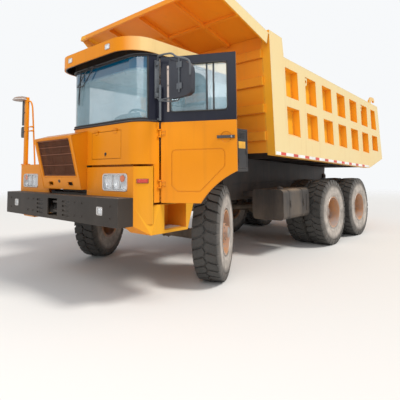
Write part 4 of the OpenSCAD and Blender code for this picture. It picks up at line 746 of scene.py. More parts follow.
def makeHeadlamp(name, side, look):
    shell, bowls, lens, bezel, indicator = (bmesh.new() for _ in range(5))
    middle, size, depth, corner = (look[k] for k in ("middle", "size", "depth", "corner"))
    x, y, z = middle
    addSlab(shell, lampOutline(middle, size, -depth, 0, corner), (look["wall"], 0, 0))
    rim = addFace(shell, lampOutline(middle, size, 0, 0, corner))
    bmesh.ops.inset_region(shell, faces=[rim], thickness=look["lip"], depth=0.0)
    addWalls(shell, rim, look["wall"] - depth)
    addWalls(shell, addFace(shell, lampOutline(middle, size, 0, 0, corner)), -depth)

    for dy, dz, radius in look["bowls"] + [look["indicator"]]:
        addBowl(bowls, (x - 0.008, y + dy, z + dz), radius, look["bowlDepth"])
    addSlab(bowls, lampOutline(middle, size, -0.050, 0.024, corner - 0.012), (0.004, 0, 0))
    for i in range(look["ribs"]):
        addBoxAt(bowls, (x, y, z - 0.075 + i * look["ribPitch"]), (-0.047, -0.040, -0.222, 0.222, 0, 0.012))

    addSlab(lens, lampOutline(middle, size, -0.004, 0.022, corner - 0.011), (0.004, 0, 0))
    for i in range(look["flutes"]):
        addBoxAt(lens, (x, y - 0.21 + i * look["flutePitch"], z), (-0.001, 0.0025, 0, 0.005, -0.080, 0.080))

    addTube(bezel, lampOutline(middle, size, 0.003, 0.006, corner), 0.009, 0.0, True, 3)
    for dy in look["mullions"]:
        addTube(bezel, [(x + 0.004, y + dy, z - 0.092), (x + 0.004, y + dy, z + 0.092)], 0.004)

    dy, dz, radius = look["indicator"]
    addRod(indicator, (x - 0.001, y + dy, z + dz), (x + 0.006, y + dy, z + dz), radius, 32, radius * 0.94)
    for piece, bm, material in (("headlampShell", shell, "cabTrim"), ("headlampBowls", bowls, "reflector"),
            ("headlampLens", lens, "lamp_lens"), ("headlampBezel", bezel, "paleBezel"), ("indicator", indicator, "amber")):
        finishPiece(piece + name, bm, material, replaces=["headlamps"], place=mirror(side))


for name, side in sides:
    makeHeadlamp(name.title(), side, headlamp)
print("headlamps made")


# Fog lamps, side markers and visor lamps

smallLamps = {
    "fog": (1.788, 1.100, 1.125), "fogSize": (0.108, 0.088), "fogRibs": 5, "fogRibPitch": 0.0185,
    "marker": (1.4975, 1.525, 1.470), "markerTurn": 45.94, "markerWidth": 0.128, "markerHeight": 0.040, "markerRibs": 5,
    "visorX": 1.7555, "visorY": (0.360, 1.190), "visorZ": 3.0675, "visorSize": (0.088, 0.063),
}


def makeSmallLamps(look):
    shells, lenses, bowls, markers, holders = (bmesh.new() for _ in range(5))
    for _, side in sides:
        flip = mirror(side)
        fog, size = look["fog"], look["fogSize"]
        x, y, z = fog
        addTube(shells, lampOutline(fog, size, 0, 0, 0.014), 0.006, 0.0, True, matrix=flip)
        addSlab(shells, lampOutline(fog, size, -0.044, 0, 0.014), (0.004, 0, 0), flip)
        addBoxAt(bowls, fog, (-0.038, -0.022, -0.050, 0.050, -0.040, 0.040), 0.006, 2, flip)
        for i in range(look["fogRibs"]):
            rib = (x, y - 0.042 + i * look["fogRibPitch"], z)
            addBoxAt(bowls, rib, (-0.024, -0.012, 0, 0.009, -0.036, 0.036), 0.003, 1, flip)
        addSlab(lenses, lampOutline(fog, size, -0.004, 0.006, 0.012), (0.004, 0, 0), flip)

        turn = flip @ Matrix.Translation(look["marker"]) @ Matrix.Rotation(math.radians(look["markerTurn"]), 4, "Z")
        half, tall = look["markerWidth"] / 2, look["markerHeight"] / 2
        addBox(holders, (0.0005, 0.006, -half - 0.006, half + 0.006, -tall - 0.006, tall + 0.006), 0.004, 2, turn)
        addBox(markers, (0.005, 0.016, -half, half, -tall, tall), 0.007, 3, turn)
        for i in range(look["markerRibs"]):
            rib = i * 0.023 - half
            addBox(markers, (0.015, 0.0175, rib + 0.018, rib + 0.022, 0.006 - tall, tall - 0.006), matrix=turn)
        for y in (-half + 0.008, half - 0.008):
            addBolt(holders, turn @ Vector((0.016, y, 0)), turn.to_3x3() @ Vector((1, 0, 0)), 0.003, 0.003)
    for y in look["visorY"]:
        visor, size = (look["visorX"], y, look["visorZ"]), look["visorSize"]
        addSlab(shells, lampOutline(visor, size, 0, 0, 0.014), (0.007, 0, 0))
        addTube(shells, lampOutline(visor, size, 0.008, 0.008, 0.012), 0.005, 0.0, True)
        addSlab(lenses, lampOutline(visor, size, 0.007, 0.012, 0.010), (0.005, 0, 0))
        addBoxAt(bowls, visor, (0.004, 0.0085, -0.034, 0.034, -0.022, 0.022), 0.002)
    for piece, bm, material in (("lampShells", shells, "paleBezel"), ("lampLenses", lenses, "lamp_lens"),
            ("lampMirrors", bowls, "reflector"), ("markerShells", holders, "markerShell"), ("sideMarkers", markers, "redLens")):
        finishPiece(piece, bm, material, replaces=["lamps"])


makeSmallLamps(smallLamps)
print("small lamps made")


# Grille: a wire mesh in a frame of flat bars, lying in the hood's leaning front

grille = {
    "foot": (1.652, 1.347), "tip": (1.825, 2.056), "low": 1.5305, "high": 2.0195, "half": 0.4295,
    "deep": 0.020, "wires": 58, "rows": 36, "wire": 0.0028, "barsAt": (0.30, 0.60, 0.80), "postsAt": (-0.145, 0.145),
    "bar": 0.006, "edge": 0.016, "core": 0.42, "fins": 24, "finPitch": 0.0195,
}


# A point on the hood's leaning front, or a little behind it
def hoodPoint(y, z, deep=0.0):
    (footX, footZ), (tipX, tipZ) = grille["foot"], grille["tip"]
    return Vector((footX + (tipX - footX) * (z - footZ) / (tipZ - footZ) - deep, y, z))


def hoodRect(y0, y1, z0, z1, deep):
    return [hoodPoint(y, z, deep) for y, z in ((y0, z0), (y1, z0), (y1, z1), (y0, z1))]


def makeGrille(look):
    low, high, half, deep, bar, edge, core = (look[k] for k in ("low", "high", "half", "deep", "bar", "edge", "core"))
    mesh, bars, radiator = (bmesh.new() for _ in range(3))
    for i in range(1, look["wires"]):
        y = -half + 2 * half * i / look["wires"]
        addRod(mesh, hoodPoint(y, low, deep), hoodPoint(y, high, deep), look["wire"], 4)
    for i in range(1, look["rows"]):
        z = low + (high - low) * i / look["rows"]
        addRod(mesh, hoodPoint(-half, z, deep - 0.002), hoodPoint(half, z, deep - 0.002), look["wire"], 4)
    finishPiece("grilleMesh", mesh, "grille_paint", replaces=["grille"], smooth=False)

    # y0, y1, z0, z1, how deep it lies and how thick it is
    plates = [(-half, half, z - bar, z + bar, 0.012, 0.018) for z in (low + (high - low) * part for part in look["barsAt"])]
    plates += [(y - bar, y + bar, low, high, 0.024, 0.012) for y in look["postsAt"]]
    plates += [(-half, half, z0, z1, 0.010, 0.020) for z0, z1 in ((low, low + edge), (high - edge, high))]
    plates += [(y0, y1, low, high, 0.0102, 0.020) for y0, y1 in ((-half, -half + edge), (half - edge, half))]
    # the radiator's core behind the mesh, with fins
    fins = [(-core, core, low + 0.01, high - 0.01, 0.100, 0.030)]
    fins += [(0.01 - core, core - 0.01, z, z + 0.007, 0.088, 0.012) for z in
        (low + 0.02 + i * look["finPitch"] for i in range(look["fins"]))]
    for bm, rows in ((bars, plates), (radiator, fins)):
        for *rect, thick in rows:
            addSlab(bm, hoodRect(*rect), (-thick, 0, 0))
    finishPiece("grilleFrame", bars, "grille_paint", replaces=["grille"])
    finishPiece("radiatorCore", radiator, "grilleDark")


makeGrille(grille)
print("grille made")


# Bumper: black plates behind its slots and across its back, standing in for the shade inside the bumper, bolts, and the
# tow pin in the jaw

bumper = {
    "slotPlates": [(0.245, 0.384, 0.998, 1.242), (0.384, 0.455, 0.998, 1.098), (0.384, 0.455, 1.202, 1.242)],
    "slotX": (1.768, 1.774),
    # the back is cut out round the two horns
    "backPlates": [(0.092, 0.380, 0.985, 1.262), (0.380, 0.480, 0.985, 1.096), (0.380, 0.480, 1.204, 1.262),
        (0.480, 0.760, 0.985, 1.262)],
    "middlePlates": [(-0.092, 0.092, 0.985, 1.036), (-0.092, 0.092, 1.198, 1.262)], "backX": (1.552, 1.560),
    "underPlate": (1.552, 1.772, -0.400, 0.400, 0.958, 0.986), "bevel": 0.002, "boltX": 1.790,
    "bolts": [(0.560, 1.035), (0.560, 1.200), (0.720, 1.035), (0.720, 1.200), (1.300, 1.050), (1.300, 1.190)],
    "pinX": 1.670, "pinProfile": [(0.0001, 1.018), (0.018, 1.020), (0.0255, 1.034), (0.0255, 1.205), (0.036, 1.206),
        (0.036, 1.216), (0.0001, 1.217)], "pinLoop": facingX(1.670, -0.02, 0.02, 1.214, 1.243),
}


def makeBumperTrim(look):
    liner, bolts, pin = (bmesh.new() for _ in range(3))
    for _, side in sides:
        for ends, plates in ((look["slotX"], look["slotPlates"]), (look["backX"], look["backPlates"])):
            for plate in plates:
                addBox(liner, (*ends, *plate), look["bevel"], 2, mirror(side))
        for y, z in look["bolts"]:
            addBolt(bolts, (look["boltX"], side * y, z), (1, 0, 0), 0.010, 0.009)
    for box in [(*look["backX"], *plate) for plate in look["middlePlates"]] + [look["underPlate"]]:
        addBox(liner, box, look["bevel"])
    spinRing(pin, look["pinProfile"], (0, 0, 1), 32, Matrix.Translation((look["pinX"], 0, 0)))
    nearFoot, farFoot, farTop, nearTop = look["pinLoop"]
    addTube(pin, [nearFoot, nearTop, farTop, farFoot], 0.006, 0.012)
    # painted shade: the black plates stand in for the shade inside the bumper, behind its slots and jaw
    finishPiece("bumperLiner", liner, "chassis_paint")
    finishPiece("bumperBolts", bolts, "bumper_paint")
    finishPiece("towPin", pin, "boltSteel")


makeBumperTrim(bumper)
print("bumper pieces made")


# Hood and service flap: locks, seams, bolts and vents

hoodTrim = {
    "lock": (-0.018, 1.458), "lockOut": (0.9715, 0, -0.237), "flapLock": (1.575, 0.912, 1.803), "sideY": 0.5,
    "nose": [(1.600, 1.352), (1.655, 1.352), (1.818, 2.050), (1.600, 2.114)],
    # seams round the grille and round the two slots below it: a rectangle, the bead's radius and its corners
    "seams": [(-0.445, 0.445, 1.515, 2.034, 0.006, 0.03), (-0.322, -0.198, 1.398, 1.452, 0.005, 0.018),
        (0.198, 0.322, 1.398, 1.452, 0.005, 0.018)],
    "bolts": 7, "boltPitch": 0.26, "boltZ": (2.085, 1.745), "vents": 9, "ventPitch": 0.075,
    "vent": (0.15, 0.18, -0.507, -0.4995, 1.86, 1.99), "latch": (-0.02, 0.06, -0.506, -0.4995, 1.80, 1.835),
}


def makeHoodTrim(look):
    locks, seams, vents = (bmesh.new() for _ in range(3))
    foot, out = hoodPoint(*look["lock"]), Vector(look["lockOut"])
    addRod(locks, foot - out * 0.002, foot + out * 0.008, 0.022, 28, 0.020)
    addBolt(locks, foot + out * 0.007, out, 0.007, 0.006)
    place = Vector(look["flapLock"])
    addRod(locks, place, place + Vector((0.007, 0, 0)), 0.019, 28, 0.017)
    addBoxAt(locks, place, (0.006, 0.014, -0.005, 0.005, -0.032, 0.014), 0.003)

    for y in (-look["sideY"], look["sideY"]):
        addTube(seams, [(x, y, z) for x, z in look["nose"]], 0.005, 0.03)
    for y0, y1, z0, z1, radius, corner in look["seams"]:
        addTube(seams, hoodRect(y0, y1, z0, z1, -0.001), radius, corner, closed=True)

    for i in range(look["bolts"]):
        for z in look["boltZ"]:
            addBolt(vents, (-0.16 + i * look["boltPitch"], -look["sideY"], z), (0, -1, 0), 0.008, 0.006)
    for i in range(look["vents"]):
        addBoxAt(vents, (i * look["ventPitch"], 0, 0), look["vent"], 0.004)
    addBox(vents, look["latch"], 0.006)
    finishPiece("hoodLocks", locks, "dark_plastic")
    finishPiece("hoodSeams", seams, "orange_paint")
    finishPiece("hoodVents", vents, "dark_plastic")


makeHoodTrim(hoodTrim)


# Cab outside: window rubbers, trim under the visor, and the wiper

cabLook = {
    "rear": -0.250, "front": 1.575, "right": 0.004, "left": 1.600, "round": 0.250, "screenBack": 1.440,
    "screenLow": 2.200, "screenHigh": 2.950, "sideLow": 2.260, "sideHigh": 2.850,
}


# Points along the cab's plan round its front, from the left side to the right one
def cabFront(look, inset, back, z):
    r = look["round"] - inset
    points = []
    for middleY, start in ((look["left"] - look["round"], 90), (look["right"] + look["round"], 0)):
        for k in range(13):
            a = math.radians(start - 90 * k / 12)
            x = look["front"] - look["round"] + r * math.cos(a)
            if x >= back:
                points.append((x, middleY + r * math.sin(a), z))
    return points


def makeCabTrim(look):
    bm = bmesh.new()
    foot, head = (cabFront(look, 0.004, look["screenBack"], look[k]) for k in ("screenLow", "screenHigh"))
    addTube(bm, foot + head[::-1], 0.011, 0.0, closed=True)
    low, high = look["sideLow"], look["sideHigh"]
    for y, x0, x1 in ((look["left"] - 0.004, -0.190, 0.320), (look["right"] + 0.004, -0.150, 1.250)):
        addTube(bm, facingY(y, x0, x1, low, high), 0.009, 0.05, closed=True)
    addTube(bm, facingX(look["rear"] + 0.004, 0.250, 1.350, low, high), 0.009, 0.05, closed=True)
    finishPiece("windowRubbers", bm, "rubberSeal")

    # dark trim under the visor, following the cab's front
    bm = bmesh.new()
    for z, radius in ((2.972, 0.012), (2.176, 0.009)):
        addTube(bm, cabFront(look, -0.004, 1.30, z), radius, 0.0)
    finishPiece("frontTrim", bm, "dark_plastic")


makeCabTrim(cabLook)

wiper = {
    "x": 1.590, "pivots": (0.524, 0.665), "topZ": 2.958, "reach": (-0.230, -0.218),
    "bladeTop": (0.352, 2.945), "bladeFoot": (0.304, 2.486),
    "rail": ((0.16, 0.012), (0.84, 0.012), (0.84, 0.018), (0.16, 0.018)),
}


# One wiper on two parallel arms that hang from the header
def makeWiper(look):
    bm = bmesh.new()
    reach = Vector((0, *look["reach"]))
    half = Vector((0, -reach.z, reach.y)).normalized() * 0.008
    feet = []
    for y in look["pivots"]:
        pivot = Vector((look["x"] - 0.006, y, look["topZ"]))
        addRod(bm, pivot - Vector((0.022, 0, 0)), pivot + Vector((0.016, 0, 0)), 0.017, 20, 0.013)
        near, far = pivot + Vector((0.008, 0, 0)), pivot + reach + Vector((0.018, 0, 0))
        addSlab(bm, [near - half, near + half, far + half * 0.6, far - half * 0.6], (0.007, 0, 0))
        addRod(bm, far - Vector((0.010, 0, 0)), far + Vector((0.012, 0, 0)), 0.009)
        feet.append(far)
    near, far = feet
    addBoxAt(bm, near, (-0.006, far.x - near.x, -0.016, far.y - near.y + 0.010, -0.007, 0.007), 0.003)
    start = Vector((look["x"] - 0.004, *look["bladeTop"]))
    along = Vector((look["x"] - 0.004, *look["bladeFoot"])) - start
    addSlab(bm, [start, start + Vector((0, 0.009, 0)), start + along + Vector((0, 0.009, 0)), start + along], (0.012, 0, 0))
    for share in (0.18, 0.5, 0.82):
        spot = start + along * share
        addBoxAt(bm, spot, (0.004, 0.018, -0.004, 0.013, -0.016, 0.016), 0.003)
    rail = [start + along * share + Vector((depth, 0.001, 0)) for share, depth in look["rail"]]
    addSlab(bm, rail, (0, 0.006, 0))
    middle = start + along * 0.45
    addTube(bm, [feet[0], middle + Vector((0.016, 0.004, 0))], 0.006)
    finishPiece("wipers", bm, "dark_plastic")


makeWiper(wiper)


# Boarding steps: a studded tread plate with a worn lip in each side's opening

steps = {"low": (0.860, 1.300, 0.8855), "high": (1.210, 1.520, 0.892), "studs": (7, 6)}


def makeSteps(look):
    bm = bmesh.new()
    (x0, y0, z0), (x1, y1, z1) = look["low"], look["high"]
    across, deep = look["studs"]
    for side in (1, -1):
        flip = mirror(side)
        addBox(bm, (x0, x1, y0, y1, z0, z1), 0.002, matrix=flip)
        for i in range(across):
            for j in range(deep):
                x = x0 + (x1 - x0) * (i + 0.5) / across
                y = y0 + (y1 - y0) * (j + 0.5) / deep
                addRod(bm, (x, y, z1 - 0.001), (x, y, z1 + 0.004), 0.010, 10, 0.007, flip)
    finishPiece("stepTreads", bm, "boltSteel")


makeSteps(steps)


# Door pieces are drawn shut and turned about the hinge line with the open door

door = {
    "hinge": (1.300, 1.614), "rest": 62, "rearX": 0.393, "face": 1.600, "low": 1.210, "top": 2.950,
    "window": (0.492, 1.177, 2.280, 2.845),
    "lock": (0.445, 1.966), "hinges": (1.400, 2.000), "strip": (1.188, 1.216), "sealX": 1.235, "mullionX": (0.735, 0.655),
}
hingeX, hingeY = door["hinge"]
doorTurn = (Matrix.Translation((hingeX, hingeY, 0)) @ Matrix.Rotation(math.radians(-door["rest"]), 4, "Z")
    @ Matrix.Translation((-hingeX, -hingeY, 0)))


def makeDoorTrim(look):
    x0, x1, z0, z1 = look["window"]
    bm = bmesh.new()
    addTube(bm, facingY(look["face"] + 0.001, x0, x1, z0, z1), 0.008, 0.045, closed=True)
    # rubber seal round the inner face, clear of the wheel arch
    inner = look["face"] - 0.049
    arch = [(math.sqrt(max(0.0, 1.03 ** 2 - (z - 0.685) ** 2)), inner, z) for z in (1.36, 1.44, 1.52, 1.58)]
    front, rear, foot, head = look["sealX"], look["rearX"] + 0.060, look["low"] + 0.060, look["top"] - 0.060
    seal = [(front, inner, foot), (0.88, inner, foot)] + arch + [(rear, inner, 1.68), (rear, inner, head), (front, inner, head)]
    addTube(bm, seal, 0.007, 0.03, closed=True)
    finishPiece("doorRubbers", bm, "rubberSeal", body="door", place=doorTurn)

    bm = bmesh.new()
    addBox(bm, (look["strip"][0], look["strip"][1], look["face"] + 0.0003, look["face"] + 0.008, z0 + 0.004, z1 - 0.004), 0.003)
    finishPiece("doorStrip", bm, "warmTrim", body="door", place=doorTurn)

    bm = bmesh.new()
    for x in look["mullionX"]:
        addBox(bm, (x - 0.010, x + 0.010, look["face"] - 0.036, look["face"] - 0.016, z0 + 0.002, z1 - 0.002), 0.003)
    for z in (z0 + 0.012, z1 - 0.022):
        addBox(bm, (x0 + 0.004, x1 - 0.004, look["face"] - 0.036, look["face"] - 0.029, z, z + 0.010), 0.002)
    for z in (z0 + 0.14, z0 + 0.31, z1 - 0.06):
        clip = (look["strip"][0] + 0.008, look["strip"][1] - 0.008, look["face"] + 0.006, look["face"] + 0.011, z, z + 0.020)
        addBox(bm, clip, 0.002)
    # inner pull, armrest and lock case
    addTube(bm, [(0.560, 1.556, 2.120), (0.560, 1.505, 2.120), (0.900, 1.505, 2.120), (0.900, 1.556, 2.120)], 0.014, 0.04)
    addBox(bm, (0.405, 0.520, 1.528, 1.556, 1.900, 2.030), 0.008)
    finishPiece("doorFittings", bm, "dark_plastic", body="door", place=doorTurn)

    # trim panel in the pocket of the inner side
    bm = bmesh.new()
    trim = [(1.205, 1.30), (0.905, 1.30), (0.80, 1.42), (0.66, 1.56), (0.48, 1.72), (0.48, 2.08), (1.205, 2.08)]
    addSlab(bm, [(x, 1.5575, z) for x, z in trim], (0, 0.010, 0))
    finishPiece("doorTrimPanel", bm, "cabTrim", body="door", bevel=0.004, place=doorTurn)

    bm = bmesh.new()
    x, z = look["lock"]
    y = look["face"] + 0.0305
    addRod(bm, (x, y - 0.003, z), (x, y + 0.003, z), 0.012, 28, 0.011)
    addBox(bm, (x - 0.0015, x + 0.0015, y + 0.002, y + 0.0042, z - 0.006, z + 0.006))
    finishPiece("doorLock", bm, "reflector", body="door", place=doorTurn)

    bm = bmesh.new()
    for z in look["hinges"]:
        for x in (look["hinge"][0] - 0.045, look["hinge"][0] - 0.022):
            for dz in (0.014, 0.046):
                addBolt(bm, (x, look["face"] + 0.008, z + dz), (0, 1, 0), 0.006, 0.005)
    finishPiece("doorBolts", bm, "orange_paint", body="door", place=doorTurn)


makeDoorTrim(door)
print("cab trim made")


# Left mirror: a rounded head on a curved tube, with two lower arms

leftMirror = {
    "plate": (1.308, 1.380, 1.6003, 1.612, 2.440, 2.900), "head": (1.330, 1.392, 1.858, 2.199, 2.395, 2.872), "tube": 0.0115,
    "outline": [(1.858, 2.400), (1.900, 2.395), (2.150, 2.405), (2.199, 2.440), (2.199, 2.690),
        (2.165, 2.755), (2.100, 2.792), (1.880, 2.872), (1.858, 2.865)],
    "over": [(1.350, 1.606, 2.870), (1.355, 1.640, 2.915), (1.410, 1.690, 2.926), (1.410, 1.815, 2.923),
        (1.410, 1.925, 2.910), (1.410, 1.985, 2.856), (1.410, 2.120, 2.812), (1.410, 2.199, 2.765),
        (1.410, 2.199, 2.650), (1.395, 2.185, 2.620)],
    "under": [
        [(1.345, 1.606, 2.455), (1.345, 1.640, 2.420), (1.345, 1.800, 2.420), (1.345, 1.870, 2.430), (1.355, 1.905, 2.450)],
        [(1.345, 1.640, 2.415), (1.340, 1.830, 2.378), (1.340, 1.955, 2.372), (1.355, 1.990, 2.400)]],
}


def makeLeftMirror(look):
    x0, x1, y0, y1, z0, z1 = look["head"]
    bm = bmesh.new()
    addSlab(bm, softPath([(x0, y, z) for y, z in look["outline"]], 0.045, closed=True), (x1 - x0, 0, 0))
    front = max(bm.faces, key=lambda f: f.calc_center_median().x)
    bmesh.ops.inset_region(bm, faces=[front], thickness=0.020, depth=0.0)
    bmesh.ops.scale(bm, vec=(1, 0.90, 0.94), space=Matrix.Translation((0, -(y0 + y1) / 2, -(z0 + z1) / 2)), verts=front.verts)
    finishPiece("mirrorHead", bm, "mirrorShell", replaces=["mirror_left"], bevel=0.010)

    bm = bmesh.new()
    middle = Vector((0, (y0 + y1) / 2, (z0 + z1) / 2))
    face = [(Vector((0, y, z)) - middle) * 0.92 + middle + Vector((x0 - 0.003, 0, 0)) for y, z in look["outline"]]
    addSlab(bm, softPath(face, 0.040, closed=True), (0.004, 0, 0))
    finishPiece("mirrorGlass", bm, "mirrorFace", replaces=["mirror_left"])

    bm = bmesh.new()
    addTube(bm, look["over"], look["tube"], 0.05, sides=3)
    for line in look["under"]:
        addTube(bm, line, look["tube"] * 0.72, 0.04, sides=3)
    px0, px1, py0, py1, pz0, pz1 = look["plate"]
    addBox(bm, (px0, px1, py0, py1, pz0, pz1), 0.004)
    for z in (pz0 + 0.03, pz0 + 0.10, pz1 - 0.10, pz1 - 0.03):
        addBolt(bm, (1.322, py1, z), (0, 1, 0), 0.008, 0.007)
    for z in (2.480, 2.860):
        addBox(bm, (1.338, 1.378, 1.611, 1.640, z - 0.024, z + 0.024), 0.006)
    for z in (2.520, 2.760):
        addBox(bm, (1.392, 1.404, 1.985, 2.065, z - 0.035, z + 0.035), 0.005)
    addTube(bm, [(1.400, 2.025, 2.450), (1.400, 2.025, 2.830)], 0.0085)
    finishPiece("mirrorArms", bm, "grab_paint", replaces=["mirror_left"])


makeLeftMirror(leftMirror)


# Right mirror post: an orange post and hand rail, a tall mirror, a small one and a domed one

rightMirrors = {
    "post": (1.465, 1.515, -1.526, -1.446, 1.7053, 2.860), "foot": (1.430, 1.550, -1.546, -1.426, 1.7053, 1.717),
    "tall": (1.440, 1.500, -1.641, -1.521, 2.385, 2.815), "small": (1.440, 1.500, -1.666, -1.516, 2.175, 2.365),
    "dome": (1.550, -1.586, 2.850), "domeRadius": 0.132,
    "rail": [(1.488, -1.450, 2.790), (1.462, -1.400, 2.790), (1.440, -1.385, 2.700), (1.425, -1.370, 2.350),
        (1.405, -1.330, 1.710)],
    "gussets": ([(1.490, -1.445, 1.717), (1.490, -1.380, 1.717), (1.490, -1.445, 1.800)],
        [(1.490, -1.527, 1.717), (1.490, -1.560, 1.717), (1.490, -1.527, 1.780)]),
}


def makeRightMirrors(look):
    x0, x1, y0, y1, z0, z1 = look["post"]
    bm = bmesh.new()
    addBox(bm, (x0, x1, y0, y1, z0, z1), 0.007, 3)
    x0, x1, y0, y1, z0, z1 = look["foot"]
    addBox(bm, (x0, x1, y0, y1, z0, z1), 0.004)
    for x in (x0 + 0.018, x1 - 0.018):
        for y in (y0 + 0.018, y1 - 0.018):
            addBolt(bm, (x, y, z1), (0, 0, 1), 0.009, 0.009)
    for points in look["gussets"]:
        addSlab(bm, points, (0.008, 0, 0))
    addTube(bm, look["rail"], 0.013, 0.06, sides=3)
    for z, y in ((2.350, -1.370), (2.280, -1.364)):
        addBox(bm, (1.418, 1.470, y - 0.020, y + 0.016, z - 0.012, z + 0.012), 0.004)
        addTube(bm, [(1.440, y, z), (1.480, -1.447, z)], 0.009)
    finishPiece("mirrorPost", bm, "orange_paint", replaces=["mirror_right"])

    bm = bmesh.new()
    glass = bmesh.new()
    for key, corner in (("tall", 0.030), ("small", 0.040)):
        x0, x1, y0, y1, z0, z1 = look[key]
        middle, size = (x0, (y0 + y1) / 2, (z0 + z1) / 2), (y1 - y0, z1 - z0)
        addSlab(bm, lampOutline(middle, size, 0, 0, corner), (x1 - x0, 0, 0))
        addSlab(glass, lampOutline(middle, size, -0.003, 0.02, corner - 0.01), (0.004, 0, 0))
        z = (z0 + z1) / 2
        addTube(bm, [(1.500, (y0 + y1) / 2, z), (1.512, (y0 + y1) / 2, z), (1.512, -1.500, z)], 0.010, 0.01)
    x, y, z = look["dome"]
    addTube(bm, [(1.490, -1.486, 2.852), (1.490, -1.560, 2.872), (x, y, z + 0.030)], 0.011, 0.03)
    finishPiece("rightMirrorHeads", bm, "dark_plastic", replaces=["mirror_right"], bevel=0.006)
    finishPiece("rightMirrorGlass", glass, "mirrorFace", replaces=["mirror_right"])

    radius = look["domeRadius"]
    shell, rim = bmesh.new(), bmesh.new()
    arc = [(radius * math.sin(math.radians(a)), 0.060 * math.cos(math.radians(a)) - 0.030) for a in (2, 20, 38, 55, 70, 82, 90)]
    under = [(radius * 0.96, -0.034), (radius * 0.5, -0.038), (0.0002, -0.040)]
    spinRing(shell, arc + under, (0, 0, 1), 48, Matrix.Translation((x, y, z)))
    finishPiece("domeMirror", shell, "domeBack", replaces=["mirror_right"])
    ring = [Vector((across, along, -0.031)) + Vector((x, y, z)) for across, along in around(40, radius)]
    addTube(rim, ring, 0.007, 0.0, closed=True)
    finishPiece("domeRim", rim, "paleBezel", replaces=["mirror_right"])


makeRightMirrors(rightMirrors)
print("mirrors made")


# Dump body, drawn in its own level view: tape along its foot, weld beads in the recesses

dumpBody = {
    "front": (-1.286, 1.836), "tilt": 2.6, "outer": 1.683, "plate": 1.553, "tapeLow": 0.010, "tapeHigh": 0.062,
    "tapeStart": -0.022, "tapeEnd": -4.900, "redStart": -0.194, "redLength": 0.178, "redPitch": 0.462, "panels": 7,
    "panelPitch": 0.799, "panelWidth": 0.480,
    "panelFront": -0.465, "lean": math.tan(math.radians(5.5)), "rows": ((0.385, 0.898), (1.080, 1.602)), "bead": 0.0055,
    "shelf": 0.065,
}
bodyTurn = (Matrix.Translation((dumpBody["front"][0], 0, dumpBody["front"][1]))
    @ Matrix.Rotation(math.radians(-dumpBody["tilt"]), 4, "Y"))


def makeBodyTrim(look):
    white, red, beads = bmesh.new(), bmesh.new(), bmesh.new()
    marks = [look["tapeStart"]]
    start = look["redStart"]
    while start - look["redLength"] > look["tapeEnd"]:
        marks += [start, start - look["redLength"]]
        start -= look["redPitch"]
    marks.append(look["tapeEnd"])
    for side in (1, -1):
        matrix = bodyTurn @ mirror(side)
        for i, (x1, x0) in enumerate(zip(marks, marks[1:])):
            corners = facingY(look["outer"] + 0.0001, x0 + 0.0015, x1 - 0.0015, look["tapeLow"], look["tapeHigh"])
            addSlab(red if i % 2 else white, corners, (0, 0.0016, 0), matrix)
        for row, (low, high) in enumerate(look["rows"]):
            for i in range(look["panels"]):
                corners = []
                foot = low + (look["shelf"] if row == 0 else 0.0)
                for z, back in ((foot, 0), (foot, 1), (high, 1), (high, 0)):
                    x = look["panelFront"] - i * look["panelPitch"] + z * look["lean"] - back * look["panelWidth"]
                    corners.append((x - 0.003 + 0.006 * back, look["plate"] + 0.001, z - 0.003 if z == high else z + 0.003))
                if row == 0 and i == look["panels"] - 1:
                    continue
                addTube(beads, corners, look["bead"], 0.010, closed=True, matrix=matrix)
    finishPiece("whiteTape", white, "whiteTape", body="dump_body", smooth=False)
    finishPiece("redTape", red, "redTape", body="dump_body", smooth=False)
    finishPiece("sideWelds", beads, "body_paint", body="dump_body")


makeBodyTrim(dumpBody)
print("body trim made")


# Tall box behind the cab, fuel tank, air tanks and right box

tanks = {
    "tall": (-0.576, -0.297, 1.600, 1.593, 2.212), "plate": (-0.512, -0.332, 1.915, 2.020),
    "fuel": (-2.900, -1.850, 0.850, 1.500, 0.670, 1.220, 0.080), "straps": (-2.640, -2.110), "cap": (-2.000, 1.350, 1.2595),
    "airY": -1.180, "airZ": (0.850, 1.100), "airRadius": 0.115, "airStraps": (-2.020, -1.600), "airEnds": (-2.150, -1.450),
    "airDome": ((0.0002, 0.020), (0.050, 0.017), (0.085, 0.010), (0.108, 0.001), (0.106, -0.002), (0.0002, -0.002)),
    "rightBox": (-2.900, -2.250, -1.480, 0.720, 1.220),
}


